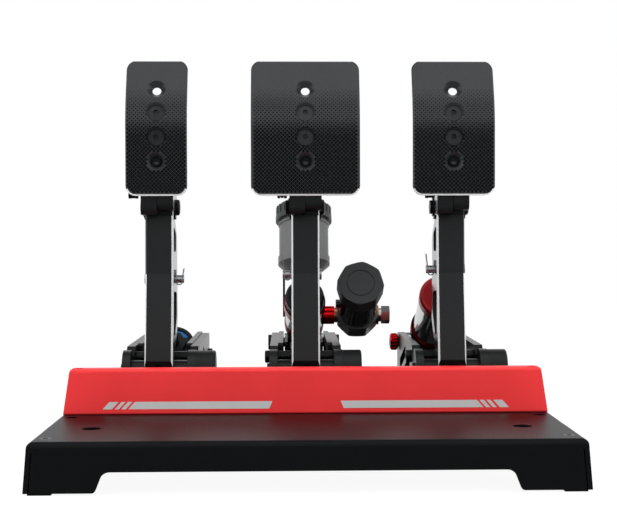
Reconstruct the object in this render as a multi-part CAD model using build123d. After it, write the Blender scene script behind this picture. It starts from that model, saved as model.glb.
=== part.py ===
from build123d import *
import math
import os

# Three-pedal set on a folded sheet base. Millimetres, X right, Y to the rear, Z up.
# The origin lies on the floor under the middle of the base. Places along the base
# are set back from its front edge, and heights are above the floor.

# Base tray: one folded sheet with four flared flanges
BASE_WIDTH = 349.4
BASE_DEPTH = 380.0
BASE_HEIGHT = 33.0
BASE_SHEET = 3.0
BEND_RADIUS = 3.8
FLARE_ANGLE = 4.0
SEAM_GAP = 0.8
SEAM_TOP_DROP = 6.5
ARCH_HEIGHT = 14.3
ARCH_TOP_ROUND = 6.5
FOOT_WIDTH = 44.2
FOOT_SLOPE_RUN = 5.0
FOOT_CORNER_ROUND = 2.4
MOUNT_HOLE_R = 6.5
MOUNT_INSET_X = 31.9
MOUNT_FRONT_SHARE = 0.1566
MOUNT_REAR_SHARE = 0.0737
CUT_OVERRUN = 2.0
SEAT_GAP = 0.3
FIT_GAP = 0.05

# Rubber corner posts, their pads and the screws that hold them
PAD_THICKNESS = 1.45
PAD_WIDTH = 14.6
PAD_SIDE_INSET = 2.6
POST_WIDTH = 12.0
POST_DEPTH = 26.0
POST_INSET_Y = 4.6
POST_TOP_BEVEL = 2.0
POST_SCREW_R = 2.0
POST_SCREW_HEAD_R = 3.8
POST_SCREW_LENGTH = 16.0

# Heel stop: a folded red sheet across the base
HEEL_SETBACK_SHARE = 0.3405
HEEL_HEIGHT = 32.1
HEEL_SHEET = 2.5
HEEL_LEAN = 8.0
HEEL_SIDE_INSET = 1.8
HEEL_END_TAPER = 4.2
HEEL_TOP_DEPTH = 12.0
HEEL_FOOT_DEPTH = 15.0
HEEL_BEND_R = 3.0
HEEL_CORNER_ROUND = 3.0
HEEL_TOP_HOLE_R = 3.4
HEEL_TOP_HOLE_INSET = 10.4
HEEL_SCREW_R = 2.5
HEEL_SCREW_HEAD_R = 4.2
HEEL_SCREW_HEAD = 2.6
HEEL_SCREW_LENGTH = 10.0
HEEL_SCREW_INSET = 8.4
HEEL_SCREW_SETBACK = 9.0
HEEL_SCREW_SHARES = (-1, -0.4, 0.4, 1)
SPARE_HOLE_R = 4.0
SPARE_HOLE_STEP = 22.0

# Pedal layout, as shares of the base
PEDAL_SPACING_SHARE = 0.3097
PIVOT_SETBACK_SHARE = 0.4632
FRAME_REAR_SHARE = 0.9053
PIVOT_HEIGHT = 60.0

# Frames: foot plate, side plates, cross bars and inner rails
FOOT_PLATE = 5.0
FOOT_PLATE_HALF_WIDTH = 40.0
FOOT_PLATE_REACH = 8.0
FRAME_GAP = 42.0
SIDE_PLATE = 6.0
FRAME_TOP = 76.0
FRAME_TOP_SHARE = 0.137
FRAME_TOE_REACH = 10.0
FRAME_CORNER_ROUND = 4.0
DISC_R = 15.0
NECK_RUN = 15.0
NECK_HEIGHT = 69.5
SLOT_HALF_WIDTH = 4.6
TRUSS_SHARES = (((0.50, 0.74), (0.80, 0.36)), ((0.27, 0.62), (0.58, 0.24)))
BAR_R = 4.5
BAR_FRONT_SHARE = 0.1845
BAR_HEIGHT_FRONT = 67.0
BAR_REAR_SHARE = 0.714
BAR_HEIGHT_REAR = 44.5
BAR_SCREW_R = 3.0
BAR_SCREW_DEPTH = 10.0
BAR_HEAD_R = 4.8
BAR_HEAD = 4.0
BAR_SOCKET_R = 2.6
BAR_SOCKET_DEPTH = 2.2
RAIL_WIDTH = 4.0
RAIL_FRONT_SHARE = 0.238
RAIL_TOP = 76.9
RAIL_BOTTOM = 70.0
RAIL_BLOCK_LENGTH = 28.0
RAIL_BLOCK_DROP = 10.5
FRAME_BOLT_R = 3.0
FRAME_BOLT_HEAD_R = 4.9
FRAME_BOLT_HEAD = 6.0
FRAME_BOLT_X = 33.5
FRAME_BOLT_SHARES = (0.21, 0.85)
FRAME_NUT = 5.0
FRAME_NUT_R = 5.7

# Pivot: shaft, spacer tubes and sensor housing
SHAFT_R = 6.0
SHAFT_HEAD_R = 4.8
SHAFT_HEAD = 1.8
SPACER_R = 7.5
SENSOR_R = 14.6
SENSOR_LENGTH = 14.3
SENSOR_BORE_DEPTH = 9.0
SENSOR_BEVEL = 0.8
GLAND_R = 3.2
GLAND_LENGTH = 5.0

# Arm: a milled bar with bevelled front edges and two windows
ARM_WIDTH = 20.8
ARM_BEVEL_WIDTH = 1.2
ARM_BEVEL_DEPTH = 3.0
ARM_HEIGHT = 118.0
ARM_DEPTH = 37.0
ARM_TOP_SET = 3.0
ARM_TOP_RUN = 9.0
ARM_TOP_DROP = 20.0
ARM_KNEE_SET = 5.0
ARM_KNEE_SHARE = 0.607
ARM_TOE_RISE = 8.0
ARM_LIP_HEIGHT = 3.2
ARM_LIP_DEPTH = 1.4
ARM_CHIN_RUN = 9.0
ARM_CHIN_DROP = 18.0
HUB_R = 17.0
ARM_REAR_SHARES = ((0.946, 0.64), (1.03, 0.424), (1.06, 0.30), (0.335, 0.11))
ARM_REAR_ROUND = 6.0
WINDOW_ROUND = 4.0
UPPER_WINDOW_SHARES = ((0.135, 0.745), (0.68, 0.745), (0.68, 0.86), (0.135, 0.915))
LOWER_WINDOW_SHARES = ((0.00, 0.215), (0.36, 0.215), (0.80, 0.33), (0.80, 0.48), (0.07, 0.50))
TONGUE_WIDTH = 12.0
TONGUE_R = 8.8
EAR_R = 9.0
BRACKET_BOLT_SET = 10.0
BRACKET_BOLT_OVER = 3.0
GRUB_R = 2.5
GRUB_LENGTH = 6.0
GRUB_RISE = 2.9
HEX_SHARE = 0.52

# Bracket halves between arm and face
BRACKET_WIDTH = 23.6
BRACKET_SEAM = 0.4
LEAF_THICKNESS = 7.0
LEAF_TOP_RUN = 19.5
KNUCKLE_ROUND = 5.5
KNUCKLE_TOP_RISE = 14.0
KNUCKLE_REAR_GAP = 1.2
KNUCKLE_HANG = 3.2
LEAF_HOLE_SHARE = 0.7
BRACKET_BOLT_R = 4.0
BRACKET_HEAD_R = 6.0
BRACKET_HEAD = 2.7
BRACKET_SOCKET_R = 3.0
BRACKET_WASHER_R = 6.9
BRACKET_WASHER = 0.8
BRACKET_NUT_R = 5.8
BRACKET_NUT = 2.0

# Face plates: vertical below, curved back above
FACE_REACH = 24.0
FACE_BOTTOM_OVER = 11.0
FACE_BEND_OVER = 59.5
FACE_BEND_R = 75.0
FACE_LEAN = 22.0
FACE_TOP_RUN = 24.6
FACE_THICKNESS = 4.5
FACE_CORNER_R = 7.4
FACE_BEVEL = 1.1
CLUTCH_FACE_WIDTH = 44.6
BRAKE_FACE_WIDTH = 79.4
THROTTLE_FACE_WIDTH = 60.1
FACE_HOLE_R = 3.2
FACE_HOLE_PITCH = 17.9
FACE_HOLE_DROP = 23.6
RECESS_R = 6.8
RECESS_DEPTH = 1.0
FACE_SCREW_HEAD_R = 6.3
FACE_SCREW_R = 3.0
FACE_SOCKET_R = 2.2
FACE_SOCKET_DEPTH = 2.0
NUT_BAR_HALF_WIDTH = 7.5
NUT_BAR_THICKNESS = 5.0
NUT_BAR_MARGIN = 8.0

# Clevis joint between arm and rod, opened by its clearance
CLEVIS_SET = 14.0
CLEVIS_SHARES = {"clutch": 0.571, "brake": 0.598, "throttle": 0.628}
CLEVIS_PIN_R = 3.0
CLEVIS_HEAD_R = 4.1
CLEVIS_HEAD = 1.9
CLEVIS_CLEARANCE = 1.1
EYE_R = 6.6
EYE_WIDTH = 8.4
EYE_POCKET_GAP = 1.2
ROD_POCKET_RISE = 7.4
ROD_POCKET_REACH = 34.0
ROD_POCKET_DROP = 30.0
CLIP_SHEET = 0.8
CLIP_DEPTH = 6.0
CLIP_SPREAD = 5.4
CLIP_TALL = {"clutch": 8.0, "brake": 11.5, "throttle": 11.8}
CLIP_SHORT = 7.0
CLIP_LEAN = 1.4
CLIP_DROP = 4.6

# Units behind the arms: rear stub pins and turned bodies
REAR_PIVOT_INSET = 14.0
REAR_PIVOT_HEIGHT = 68.5
CLUTCH_PIVOT_HEIGHT = 57.0
STUB_PIN_R = 4.0
STUB_PIN_TIP = 12.3
STUB_HEAD_R = 6.4
STUB_HEAD = 3.2
BOSS_HALF_WIDTH = 16.3
BOSS_R = 8.0

# Clutch unit: open housing with an elastomer ring round the rod
CLUTCH_ROD_R = 4.0
CLUTCH_HOUSING_R = 16.6
CLUTCH_RIM = 25.6
CLUTCH_HOUSING_LENGTH = 30.0
CLUTCH_END_WALL = 4.0
RING_SEAT_R = 13.9
RING_SEAT_DEPTH = 14.0
RING_RECESS = 1.0
RING_HOLE_R = 5.2
CLUTCH_CHAMBER_R = 11.0
CLUTCH_NUT_R = 7.2
CLUTCH_NUT = 5.0
ROD_TIP = 1.2
PISTON_GAP = 0.1
PISTON_LENGTH = 4.0

# Throttle unit: damper with red cap and collar
DAMPER_ROD_R = 4.5
THROTTLE_CAP_SHARE = 0.668
THROTTLE_CAP_R = 17.4
THROTTLE_CAP_LENGTH = 11.0
THROTTLE_CAP_ROUND = 3.0
THROTTLE_TUBE_R = 17.0
THROTTLE_COLLAR_R = 19.0
THROTTLE_COLLAR_LENGTH = 10.0
THROTTLE_TUBE_END = 24.0
THROTTLE_CHAMBER_R = 14.0
THROTTLE_CHAMBER_WALL = 5.0
THROTTLE_TAIL_R = 14.5
THROTTLE_TAIL_END = 7.0
THROTTLE_BOSS_HALF_WIDTH = 20.7
KNOB_R = 7.35
KNOB_LENGTH = 6.8
KNOB_STANDOFF = 0.6
KNOB_BEVEL = 1.4
KNOB_FLUTES = 14
KNOB_FLUTE_R = 0.7

# Brake unit: cylinder with cap and collars, placed by shares of the unit's length
BRAKE_CAP_SHARE = 0.702
BRAKE_CAP_R = 15.2
BRAKE_CAP_LENGTH = 11.1
BRAKE_CAP_BEVEL = 1.5
BRAKE_TUBE_R = 15.4
BRAKE_TUBE_SHARE = 0.261
BRAKE_BORE_R = 11.0
BRAKE_BORE_WALL = 6.0
BRAKE_TAIL_R = 14.2
BRAKE_TAIL_END = 9.0
FRONT_COLLAR_R = 16.5
FRONT_COLLAR_SHARE = 0.078
REAR_COLLAR_R = 16.1
REAR_COLLAR_LENGTH = 10.0
REAR_COLLAR_SHARE = 0.287
COLLAR_BEVEL = 0.8

# Brake chamber beside the cylinder: octagonal base block with the ports, round body, octagonal cap
ADAPTER_R = 7.4
ADAPTER_SHOULDER = 2.5
PORT_SHARE = 0.428
CHAMBER_OFFSET_SHARE = 0.3946
CHAMBER_R = 15.0
CHAMBER_FRONT_RUN = 52.0
OCTAGON_CAP_R = 18.3
OCTAGON_CAP_LENGTH = 18.0
OCTAGON_CAP_TURN = -6.5
OCTAGON_BASE_R = 17.4
BASE_FRONT_RUN = 10.5
BASE_REAR_RUN = 7.2
OCTAGON_BEVEL = 1.0
GROOVE_R = 10.8
GROOVE_WIDTH = 0.8
GROOVE_DEPTH = 0.6
WASHER_R = 8.0
WASHER = 1.3
BLEED_NECK_R = 5.6
BLEED_NECK = 2.2
BLEED_HEAD_R = 7.3
BLEED_HEAD = 6.8
SIDE_PLUG_R = 3.4
SIDE_PLUG_LENGTH = 3.0
SIDE_PLUG_SET = 15.0

# Reservoir over the brake cylinder, tilted to the rear
RESERVOIR_PORT_SHARE = 0.429
RESERVOIR_DROP = 34.0
RESERVOIR_TILT = 20.0
CUP_R = 20.3
CUP_WALL = 2.0
CONE_FOOT_R = 11.0
CONE_HEIGHT = 9.0
BEAD_R = 21.2
BEAD_HEIGHT = 6.0
CUP_HEIGHT = 46.5
NECK_R = 19.4
NECK_HEIGHT_CUP = 4.0
NECK_LIP_R = 20.9
RESERVOIR_CAP_R = 22.0
RESERVOIR_CAP_HEIGHT = 14.5
RESERVOIR_CAP_LIP_R = 23.2
RESERVOIR_CAP_LIP = 4.2
RESERVOIR_CAP_TOP = 3.0
RESERVOIR_CAP_BEVEL = 2.6
CAP_RIBS = 26
CAP_RIB_HALF_WIDTH = 1.5
CAP_RIB_PROUD = 0.9
NIPPLE_R = 4.1
NIPPLE_BORE_R = 2.6
NIPPLE_SHARE = 0.44
PORT_R = 6.6
PORT_LENGTH = 4.0
HOSE_R = 6.3
CLAMP_R = 7.4
CLAMP_SHARE = 0.28
CLAMP_INSET_SHARE = 0.12
CLAMP_EAR_LENGTH = 8.0
CLAMP_EAR_SHARE = 0.4
BRACKET_STRIP = 1.8
BRACKET_STRIP_WIDTH = 10.0

# Places worked out from the sizes above
FRONT = -BASE_DEPTH / 2
PEDAL_SPACING = PEDAL_SPACING_SHARE * BASE_WIDTH
CHAMBER_OFFSET = CHAMBER_OFFSET_SHARE * PEDAL_SPACING
HEEL_Y = FRONT + HEEL_SETBACK_SHARE * BASE_DEPTH
PIVOT_Y = FRONT + PIVOT_SETBACK_SHARE * BASE_DEPTH
FRAME_END = FRONT + FRAME_REAR_SHARE * BASE_DEPTH
FRAME_RUN = FRAME_END - PIVOT_Y
FOOT_START = PIVOT_Y - FOOT_PLATE_REACH
REAR_Y = FRAME_END - REAR_PIVOT_INSET
ARM_TOP = PIVOT_HEIGHT + ARM_HEIGHT
FACE_Y = PIVOT_Y - FACE_REACH
FACE_BOTTOM = ARM_TOP + FACE_BOTTOM_OVER
FACE_BEND_START = ARM_TOP + FACE_BEND_OVER
PLATE_FOOT = BASE_HEIGHT + FOOT_PLATE
PLATE_IN = FRAME_GAP / 2
PLATE_OUT = PLATE_IN + SIDE_PLATE
ARM_HALF = ARM_WIDTH / 2
BRACKET_HALF = BRACKET_WIDTH / 2
CLEVIS_Y = PIVOT_Y + CLEVIS_SET
CLEVIS_Z = {name: PIVOT_HEIGHT + share * ARM_HEIGHT for name, share in CLEVIS_SHARES.items()}
BOLT_Y = PIVOT_Y + BRACKET_BOLT_SET
BOLT_Z = ARM_TOP + BRACKET_BOLT_OVER
BAR_PLACES = ((PIVOT_Y + BAR_FRONT_SHARE * FRAME_RUN, BAR_HEIGHT_FRONT),
              (PIVOT_Y + BAR_REAR_SHARE * FRAME_RUN, BAR_HEIGHT_REAR))
PEDALS = (("clutch", -PEDAL_SPACING, CLUTCH_FACE_WIDTH, 1),
          ("brake", 0, BRAKE_FACE_WIDTH, -1),
          ("throttle", PEDAL_SPACING, THROTTLE_FACE_WIDTH, -1))
PIVOT_HEIGHTS = {"clutch": CLUTCH_PIVOT_HEIGHT,
                 "brake": REAR_PIVOT_HEIGHT,
                 "throttle": REAR_PIVOT_HEIGHT}
nodes = {}


def outline(points, radii):
    """Closed flat outline with its corners rounded by the radii."""
    return make_face(FilletPolyline(*points, radius=radii, close=True))


def across(face, x0, x1):
    """Prism of a (y, z) outline from x0 to x1."""
    return extrude(Plane.YZ.offset(x0) * face, amount=x1 - x0)


def bar(y, z, radius, x0, x1):
    """Round bar along X."""
    return across(Pos(y, z) * Circle(radius), x0, x1)


def turned(points):
    """Solid of revolution about Z from (radius, height) points."""
    return revolve(Plane.XZ * make_face(Polyline(*points, close=True)), Axis.Z)


def sleeve(outer, inner, z0, z1, bevel=0):
    """Turned ring or disc with bevelled outer edges."""
    points = [(inner, z0), (outer - bevel, z0), (outer, z0 + bevel),
              (outer, z1 - bevel), (outer - bevel, z1), (inner, z1)]
    if bevel == 0:
        points = [(inner, z0), (outer, z0), (outer, z1), (inner, z1)]
    return turned(points)


def prism_z(radius, sides, z0, z1, turn=0):
    """Regular prism along Z, radius to its corners."""
    return extrude(Pos(0, 0, z0) * Rot(0, 0, turn) * RegularPolygon(radius, sides), amount=z1 - z0)


def group(shapes):
    """Several solids kept separate in one node."""
    solids = []
    for shape in shapes:
        solids.extend(shape.solids())
    return Compound(children=solids)


def mirrored(shape):
    return mirror(shape, about=Plane.YZ)


def frustum(width, depth, top, bottom):
    """Box whose four walls flare outwards towards the bottom."""
    grow = 2 * (top - bottom) * math.tan(math.radians(FLARE_ANGLE))
    low = Pos(0, 0, bottom) * Rectangle(width + grow, depth + grow)
    high = Pos(0, 0, top) * Rectangle(width, depth)
    return loft([low, high], ruled=True)


def mount_places():
    x = BASE_WIDTH / 2 - MOUNT_INSET_X
    rows = (FRONT + MOUNT_FRONT_SHARE * BASE_DEPTH, -FRONT - MOUNT_REAR_SHARE * BASE_DEPTH)
    return [(i * x, y) for i in (-1, 1) for y in rows]


def post_places():
    """Middle of each corner post, with the signs of its corner."""
    reach = math.tan(math.radians(FLARE_ANGLE)) * BASE_HEIGHT
    x = BASE_WIDTH / 2 + reach - PAD_SIDE_INSET - PAD_WIDTH + POST_WIDTH / 2
    y = BASE_DEPTH / 2 - POST_INSET_Y - POST_DEPTH / 2
    return [(i * x, j * y, i, j) for i in (-1, 1) for j in (-1, 1)]


def frame_bolt_places():
    places = []
    for _, x, _, _ in PEDALS:
        for share in FRAME_BOLT_SHARES:
            y = FOOT_START + share * (FRAME_END - FOOT_START)
            places.extend([(x - FRAME_BOLT_X, y), (x + FRAME_BOLT_X, y)])
    return places


def heel_screw_places():
    x = BASE_WIDTH / 2 - HEEL_SIDE_INSET - HEEL_SCREW_INSET
    y = HEEL_Y + HEEL_SCREW_SETBACK
    return [(share * x, y) for share in HEEL_SCREW_SHARES]


def build_tray():
    slope = math.tan(math.radians(FLARE_ANGLE))
    skew = BASE_SHEET / math.cos(math.radians(FLARE_ANGLE))
    under = BASE_HEIGHT - BASE_SHEET
    outer = frustum(BASE_WIDTH, BASE_DEPTH, BASE_HEIGHT, PAD_THICKNESS)
    outer = fillet(outer.edges().group_by(Axis.Z)[-1], BEND_RADIUS)
    shrink = 2 * (BASE_SHEET * slope - skew)
    inner = frustum(BASE_WIDTH + shrink, BASE_DEPTH + shrink, under, PAD_THICKNESS - CUT_OVERRUN)
    inner = fillet(inner.edges().group_by(Axis.Z)[-1], BEND_RADIUS - BASE_SHEET)
    tray = outer - inner
    # Arched front and rear flanges between the feet
    foot_in = BASE_WIDTH / 2 + slope * BASE_HEIGHT - FOOT_WIDTH
    arch_in = foot_in - FOOT_SLOPE_RUN
    low = PAD_THICKNESS - CUT_OVERRUN
    wide = foot_in + FOOT_WIDTH / 2
    arch = outline([(-wide, low), (-wide, PAD_THICKNESS), (-foot_in, PAD_THICKNESS),
                    (-arch_in, ARCH_HEIGHT), (arch_in, ARCH_HEIGHT), (foot_in, PAD_THICKNESS),
                    (wide, PAD_THICKNESS), (wide, low)],
                   [0, 0, FOOT_CORNER_ROUND, ARCH_TOP_ROUND, ARCH_TOP_ROUND, FOOT_CORNER_ROUND, 0, 0])
    tray -= extrude(Plane.XZ * arch, amount=BASE_DEPTH, both=True)
    # Open corner seams beside the side flanges
    seam_top = BASE_HEIGHT - SEAM_TOP_DROP
    seam_span = CUT_OVERRUN + skew + slope * BASE_HEIGHT
    for side in (-1, 1):
        top_x = BASE_WIDTH / 2 + slope * (BASE_HEIGHT - seam_top) - skew
        low_x = BASE_WIDTH / 2 + slope * (BASE_HEIGHT - low) - skew
        cut = make_face(Polyline((side * top_x, seam_top), (side * low_x, low),
                                 (side * (low_x - SEAM_GAP), low),
                                 (side * (top_x - SEAM_GAP), seam_top), close=True))
        for end in (-1, 1):
            y = end * (BASE_DEPTH / 2 - skew)
            tray -= extrude(Plane.XZ.offset(-y) * cut, amount=-end * (seam_span + skew))
    # Holes through the top
    def drill(x, y, radius):
        return Pos(x, y, under - CUT_OVERRUN) * extrude(Circle(radius), amount=BASE_SHEET + 2 * CUT_OVERRUN)
    holes = [drill(x, y, MOUNT_HOLE_R) for x, y in mount_places()]
    holes += [drill(x, y, FRAME_BOLT_R + FIT_GAP) for x, y in frame_bolt_places()]
    holes += [drill(x, y, HEEL_SCREW_R + FIT_GAP) for x, y in heel_screw_places()]
    for x, y in (heel_screw_places()[0], heel_screw_places()[-1]):
        holes.append(drill(x, y - SPARE_HOLE_STEP, SPARE_HOLE_R))
    for x, y, _, _ in post_places():
        head = POST_SCREW_HEAD_R + FIT_GAP
        sink = turned([(0, BASE_HEIGHT + CUT_OVERRUN), (head + CUT_OVERRUN, BASE_HEIGHT + CUT_OVERRUN),
                       (POST_SCREW_R + FIT_GAP, BASE_HEIGHT + FIT_GAP + POST_SCREW_R - POST_SCREW_HEAD_R),
                       (POST_SCREW_R + FIT_GAP, under - CUT_OVERRUN), (0, under - CUT_OVERRUN)])
        holes.append(Pos(x, y) * sink)
    for hole in holes:
        tray -= hole
    return tray


def build_feet():
    under = BASE_HEIGHT - BASE_SHEET
    feet = []
    for x, y, i, j in post_places():
        post = Pos(x, y, PAD_THICKNESS) * extrude(Rectangle(POST_WIDTH, POST_DEPTH),
                                                  amount=under - PAD_THICKNESS)
        post = fillet(post.edges().filter_by(Axis.Z), FOOT_CORNER_ROUND)
        post = chamfer(post.edges().group_by(Axis.Z)[-1], POST_TOP_BEVEL)
        pad_x = x - i * POST_WIDTH / 2 + i * PAD_WIDTH / 2
        pad_depth = POST_DEPTH + POST_INSET_Y
        pad_y = y - j * POST_DEPTH / 2 + j * pad_depth / 2
        pad = Pos(pad_x, pad_y) * extrude(Rectangle(PAD_WIDTH, pad_depth), amount=PAD_THICKNESS)
        hole = Pos(x, y, under - POST_SCREW_LENGTH) * extrude(Circle(POST_SCREW_R + FIT_GAP),
                                                              amount=POST_SCREW_LENGTH)
        feet.append(post + pad - hole)
    return group(feet)


def build_base_screws():
    screws = []
    for x, y, _, _ in post_places():
        tip = BASE_HEIGHT - POST_SCREW_LENGTH
        screw = turned([(0, BASE_HEIGHT), (POST_SCREW_HEAD_R, BASE_HEIGHT),
                        (POST_SCREW_R, BASE_HEIGHT + POST_SCREW_R - POST_SCREW_HEAD_R),
                        (POST_SCREW_R, tip), (0, tip)])
        socket = prism_z(POST_SCREW_R, 6, BASE_HEIGHT - POST_SCREW_R / 2, BASE_HEIGHT + CUT_OVERRUN)
        screws.append(Pos(x, y) * (screw - socket))
    return group(screws)


def build_heel_stop():
    front = HEEL_Y
    top = BASE_HEIGHT + HEEL_HEIGHT
    lean = HEEL_HEIGHT * math.tan(math.radians(HEEL_LEAN))
    skew = HEEL_SHEET / math.cos(math.radians(HEEL_LEAN))
    section = outline([(front, BASE_HEIGHT), (front + lean, top), (front + lean + HEEL_TOP_DEPTH, top),
                       (front + lean + HEEL_TOP_DEPTH, top - HEEL_SHEET),
                       (front + lean + skew, top - HEEL_SHEET),
                       (front + skew, BASE_HEIGHT + HEEL_SHEET),
                       (front + HEEL_FOOT_DEPTH, BASE_HEIGHT + HEEL_SHEET),
                       (front + HEEL_FOOT_DEPTH, BASE_HEIGHT)],
                      [HEEL_SHEET / 2, HEEL_BEND_R, 0, 0, HEEL_BEND_R - HEEL_SHEET,
                       HEEL_SHEET / 2, 0, 0])
    half = BASE_WIDTH / 2 - HEEL_SIDE_INSET
    sheet = across(section, -half - CUT_OVERRUN, half + CUT_OVERRUN)
    # Tapered ends with rounded upper corners
    low = BASE_HEIGHT - CUT_OVERRUN
    wide = half + CUT_OVERRUN * HEEL_END_TAPER / HEEL_HEIGHT
    inner = half - HEEL_END_TAPER
    round_r = HEEL_CORNER_ROUND
    for side in (-1, 1):
        end = outline([(side * wide, low), (side * inner, top),
                       (side * (inner - 4 * round_r), top + round_r / 2),
                       (side * (wide + 2 * CUT_OVERRUN), top + round_r),
                       (side * (wide + 2 * CUT_OVERRUN), low)], [0, round_r, 0, 0, 0])
        sheet -= extrude(Plane.XZ.offset(-front) * end, amount=HEEL_TOP_DEPTH + HEEL_FOOT_DEPTH, both=True)
    for x, y in heel_screw_places():
        sheet -= Pos(x, y, BASE_HEIGHT - CUT_OVERRUN) * extrude(Circle(HEEL_SCREW_R + FIT_GAP),
                                                                amount=HEEL_SHEET + 2 * CUT_OVERRUN)
    hole_y = front + lean + HEEL_TOP_DEPTH / 2
    for side in (-1, 1):
        x = side * (half - HEEL_TOP_HOLE_INSET)
        sheet -= Pos(x, hole_y, top - HEEL_SHEET - CUT_OVERRUN) * extrude(
            Circle(HEEL_TOP_HOLE_R), amount=HEEL_SHEET + 2 * CUT_OVERRUN)
    return sheet


def build_heel_screws():
    seat = BASE_HEIGHT + HEEL_SHEET
    screws = []
    for x, y in heel_screw_places():
        head = sleeve(HEEL_SCREW_HEAD_R, 0, seat, seat + HEEL_SCREW_HEAD)
        head = fillet(head.edges().group_by(Axis.Z)[-1], HEEL_SCREW_HEAD / 2)
        shank = sleeve(HEEL_SCREW_R, 0, seat - HEEL_SCREW_LENGTH, seat)
        socket = prism_z(HEEL_SCREW_R * 0.7, 6, seat + HEEL_SCREW_HEAD / 2, seat + 2 * HEEL_SCREW_HEAD)
        screws.append(Pos(x, y) * (head + shank - socket))
    return group(screws)


def build_frame_feet():
    run = FRAME_END - FOOT_START
    feet = []
    for _, x, _, _ in PEDALS:
        plate = extrude(RectangleRounded(2 * FOOT_PLATE_HALF_WIDTH, run, FRAME_CORNER_ROUND),
                        amount=FOOT_PLATE)
        feet.append(Pos(x, FOOT_START + run / 2, BASE_HEIGHT) * plate)
    whole = group(feet)
    for x, y in frame_bolt_places():
        whole = group([foot - Pos(x, y, BASE_HEIGHT - CUT_OVERRUN) * extrude(
            Circle(FRAME_BOLT_R + FIT_GAP), amount=FOOT_PLATE + 2 * CUT_OVERRUN)
            for foot in whole.solids()])
    return whole


def build_frame_bolts():
    seat = BASE_HEIGHT + FOOT_PLATE
    low = BASE_HEIGHT - BASE_SHEET
    pieces = []
    for x, y in frame_bolt_places():
        head = sleeve(FRAME_BOLT_HEAD_R, 0, seat, seat + FRAME_BOLT_HEAD)
        shank = sleeve(FRAME_BOLT_R, 0, low - FRAME_NUT, seat)
        socket = prism_z(FRAME_BOLT_R, 6, seat + FRAME_BOLT_HEAD / 2, seat + 2 * FRAME_BOLT_HEAD)
        nut = prism_z(FRAME_NUT_R, 6, low - FRAME_NUT, low)
        nut -= sleeve(FRAME_BOLT_R + FIT_GAP, 0, low - 2 * FRAME_NUT, low + CUT_OVERRUN)
        pieces.append(Pos(x, y) * (head + shank - socket))
        pieces.append(Pos(x, y) * nut)
    return group(pieces)


def plate_outline():
    """Side plate: round disc at the pivot, flat top and a straight rear end."""
    top_front = PIVOT_Y + FRAME_TOP_SHARE * FRAME_RUN
    body = outline([(PIVOT_Y - FRAME_TOE_REACH, PLATE_FOOT), (FRAME_END, PLATE_FOOT), (FRAME_END, FRAME_TOP),
                    (top_front, FRAME_TOP), (PIVOT_Y + NECK_RUN, NECK_HEIGHT), (PIVOT_Y, NECK_HEIGHT),
                    (PIVOT_Y - DISC_R * 0.93, PIVOT_HEIGHT - DISC_R * 0.37)],
                   [0, FRAME_CORNER_ROUND, FRAME_CORNER_ROUND, 0, 0, 0, 0])
    face = body + Pos(PIVOT_Y, PIVOT_HEIGHT) * Circle(DISC_R)
    rise = FRAME_TOP - PLATE_FOOT
    for start, end in TRUSS_SHARES:
        a = Vector(PIVOT_Y + start[0] * FRAME_RUN, PLATE_FOOT + start[1] * rise)
        b = Vector(PIVOT_Y + end[0] * FRAME_RUN, PLATE_FOOT + end[1] * rise)
        face -= SlotCenterToCenter((b - a).length, 2 * SLOT_HALF_WIDTH).moved(
            Location(((a.X + b.X) / 2, (a.Y + b.Y) / 2, 0),
                     (0, 0, math.degrees(math.atan2(b.Y - a.Y, b.X - a.X)))))
    return face


def build_plates():
    for name, x, _, _ in PEDALS:
        plate = across(plate_outline(), x + PLATE_IN, x + PLATE_OUT)
        over = SIDE_PLATE + CUT_OVERRUN
        start = x + PLATE_IN - CUT_OVERRUN
        plate -= bar(PIVOT_Y, PIVOT_HEIGHT, SHAFT_R + FIT_GAP, start, start + over + CUT_OVERRUN)
        plate -= bar(REAR_Y, PIVOT_HEIGHTS[name], STUB_PIN_R + FIT_GAP, start, start + over + CUT_OVERRUN)
        for y, z in BAR_PLACES:
            plate -= bar(y, z, BAR_SCREW_R + FIT_GAP, start, start + over + CUT_OVERRUN)
        nodes[name + "_plate_right"] = plate
        nodes[name + "_plate_left"] = Pos(x, 0, 0) * mirrored(Pos(-x, 0, 0) * plate)


def build_frame_spacers():
    bars = []
    for _, x, _, _ in PEDALS:
        for y, z in BAR_PLACES:
            piece = bar(y, z, BAR_R, x - PLATE_IN, x + PLATE_IN)
            for x0 in (x - PLATE_IN, x + PLATE_IN - BAR_SCREW_DEPTH):
                piece -= bar(y, z, BAR_SCREW_R + FIT_GAP, x0, x0 + BAR_SCREW_DEPTH)
            bars.append(piece)
    return group(bars)


def build_spacer_bolts():
    bolts = []
    for _, x, _, _ in PEDALS:
        for y, z in BAR_PLACES:
            head = bar(y, z, BAR_HEAD_R, PLATE_OUT, PLATE_OUT + BAR_HEAD)
            head = fillet(head.edges().group_by(Axis.X)[-1], BAR_HEAD / 4)
            bolt = head + bar(y, z, BAR_SCREW_R, PLATE_IN - BAR_SCREW_DEPTH + CUT_OVERRUN, PLATE_OUT)
            bolt -= across(Pos(y, z) * RegularPolygon(BAR_SOCKET_R, 6),
                           PLATE_OUT + BAR_HEAD - BAR_SOCKET_DEPTH, PLATE_OUT + 2 * BAR_HEAD)
            bolts.append(Pos(x, 0, 0) * bolt)
            bolts.append(Pos(x, 0, 0) * mirrored(bolt))
    return group(bolts)


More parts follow.
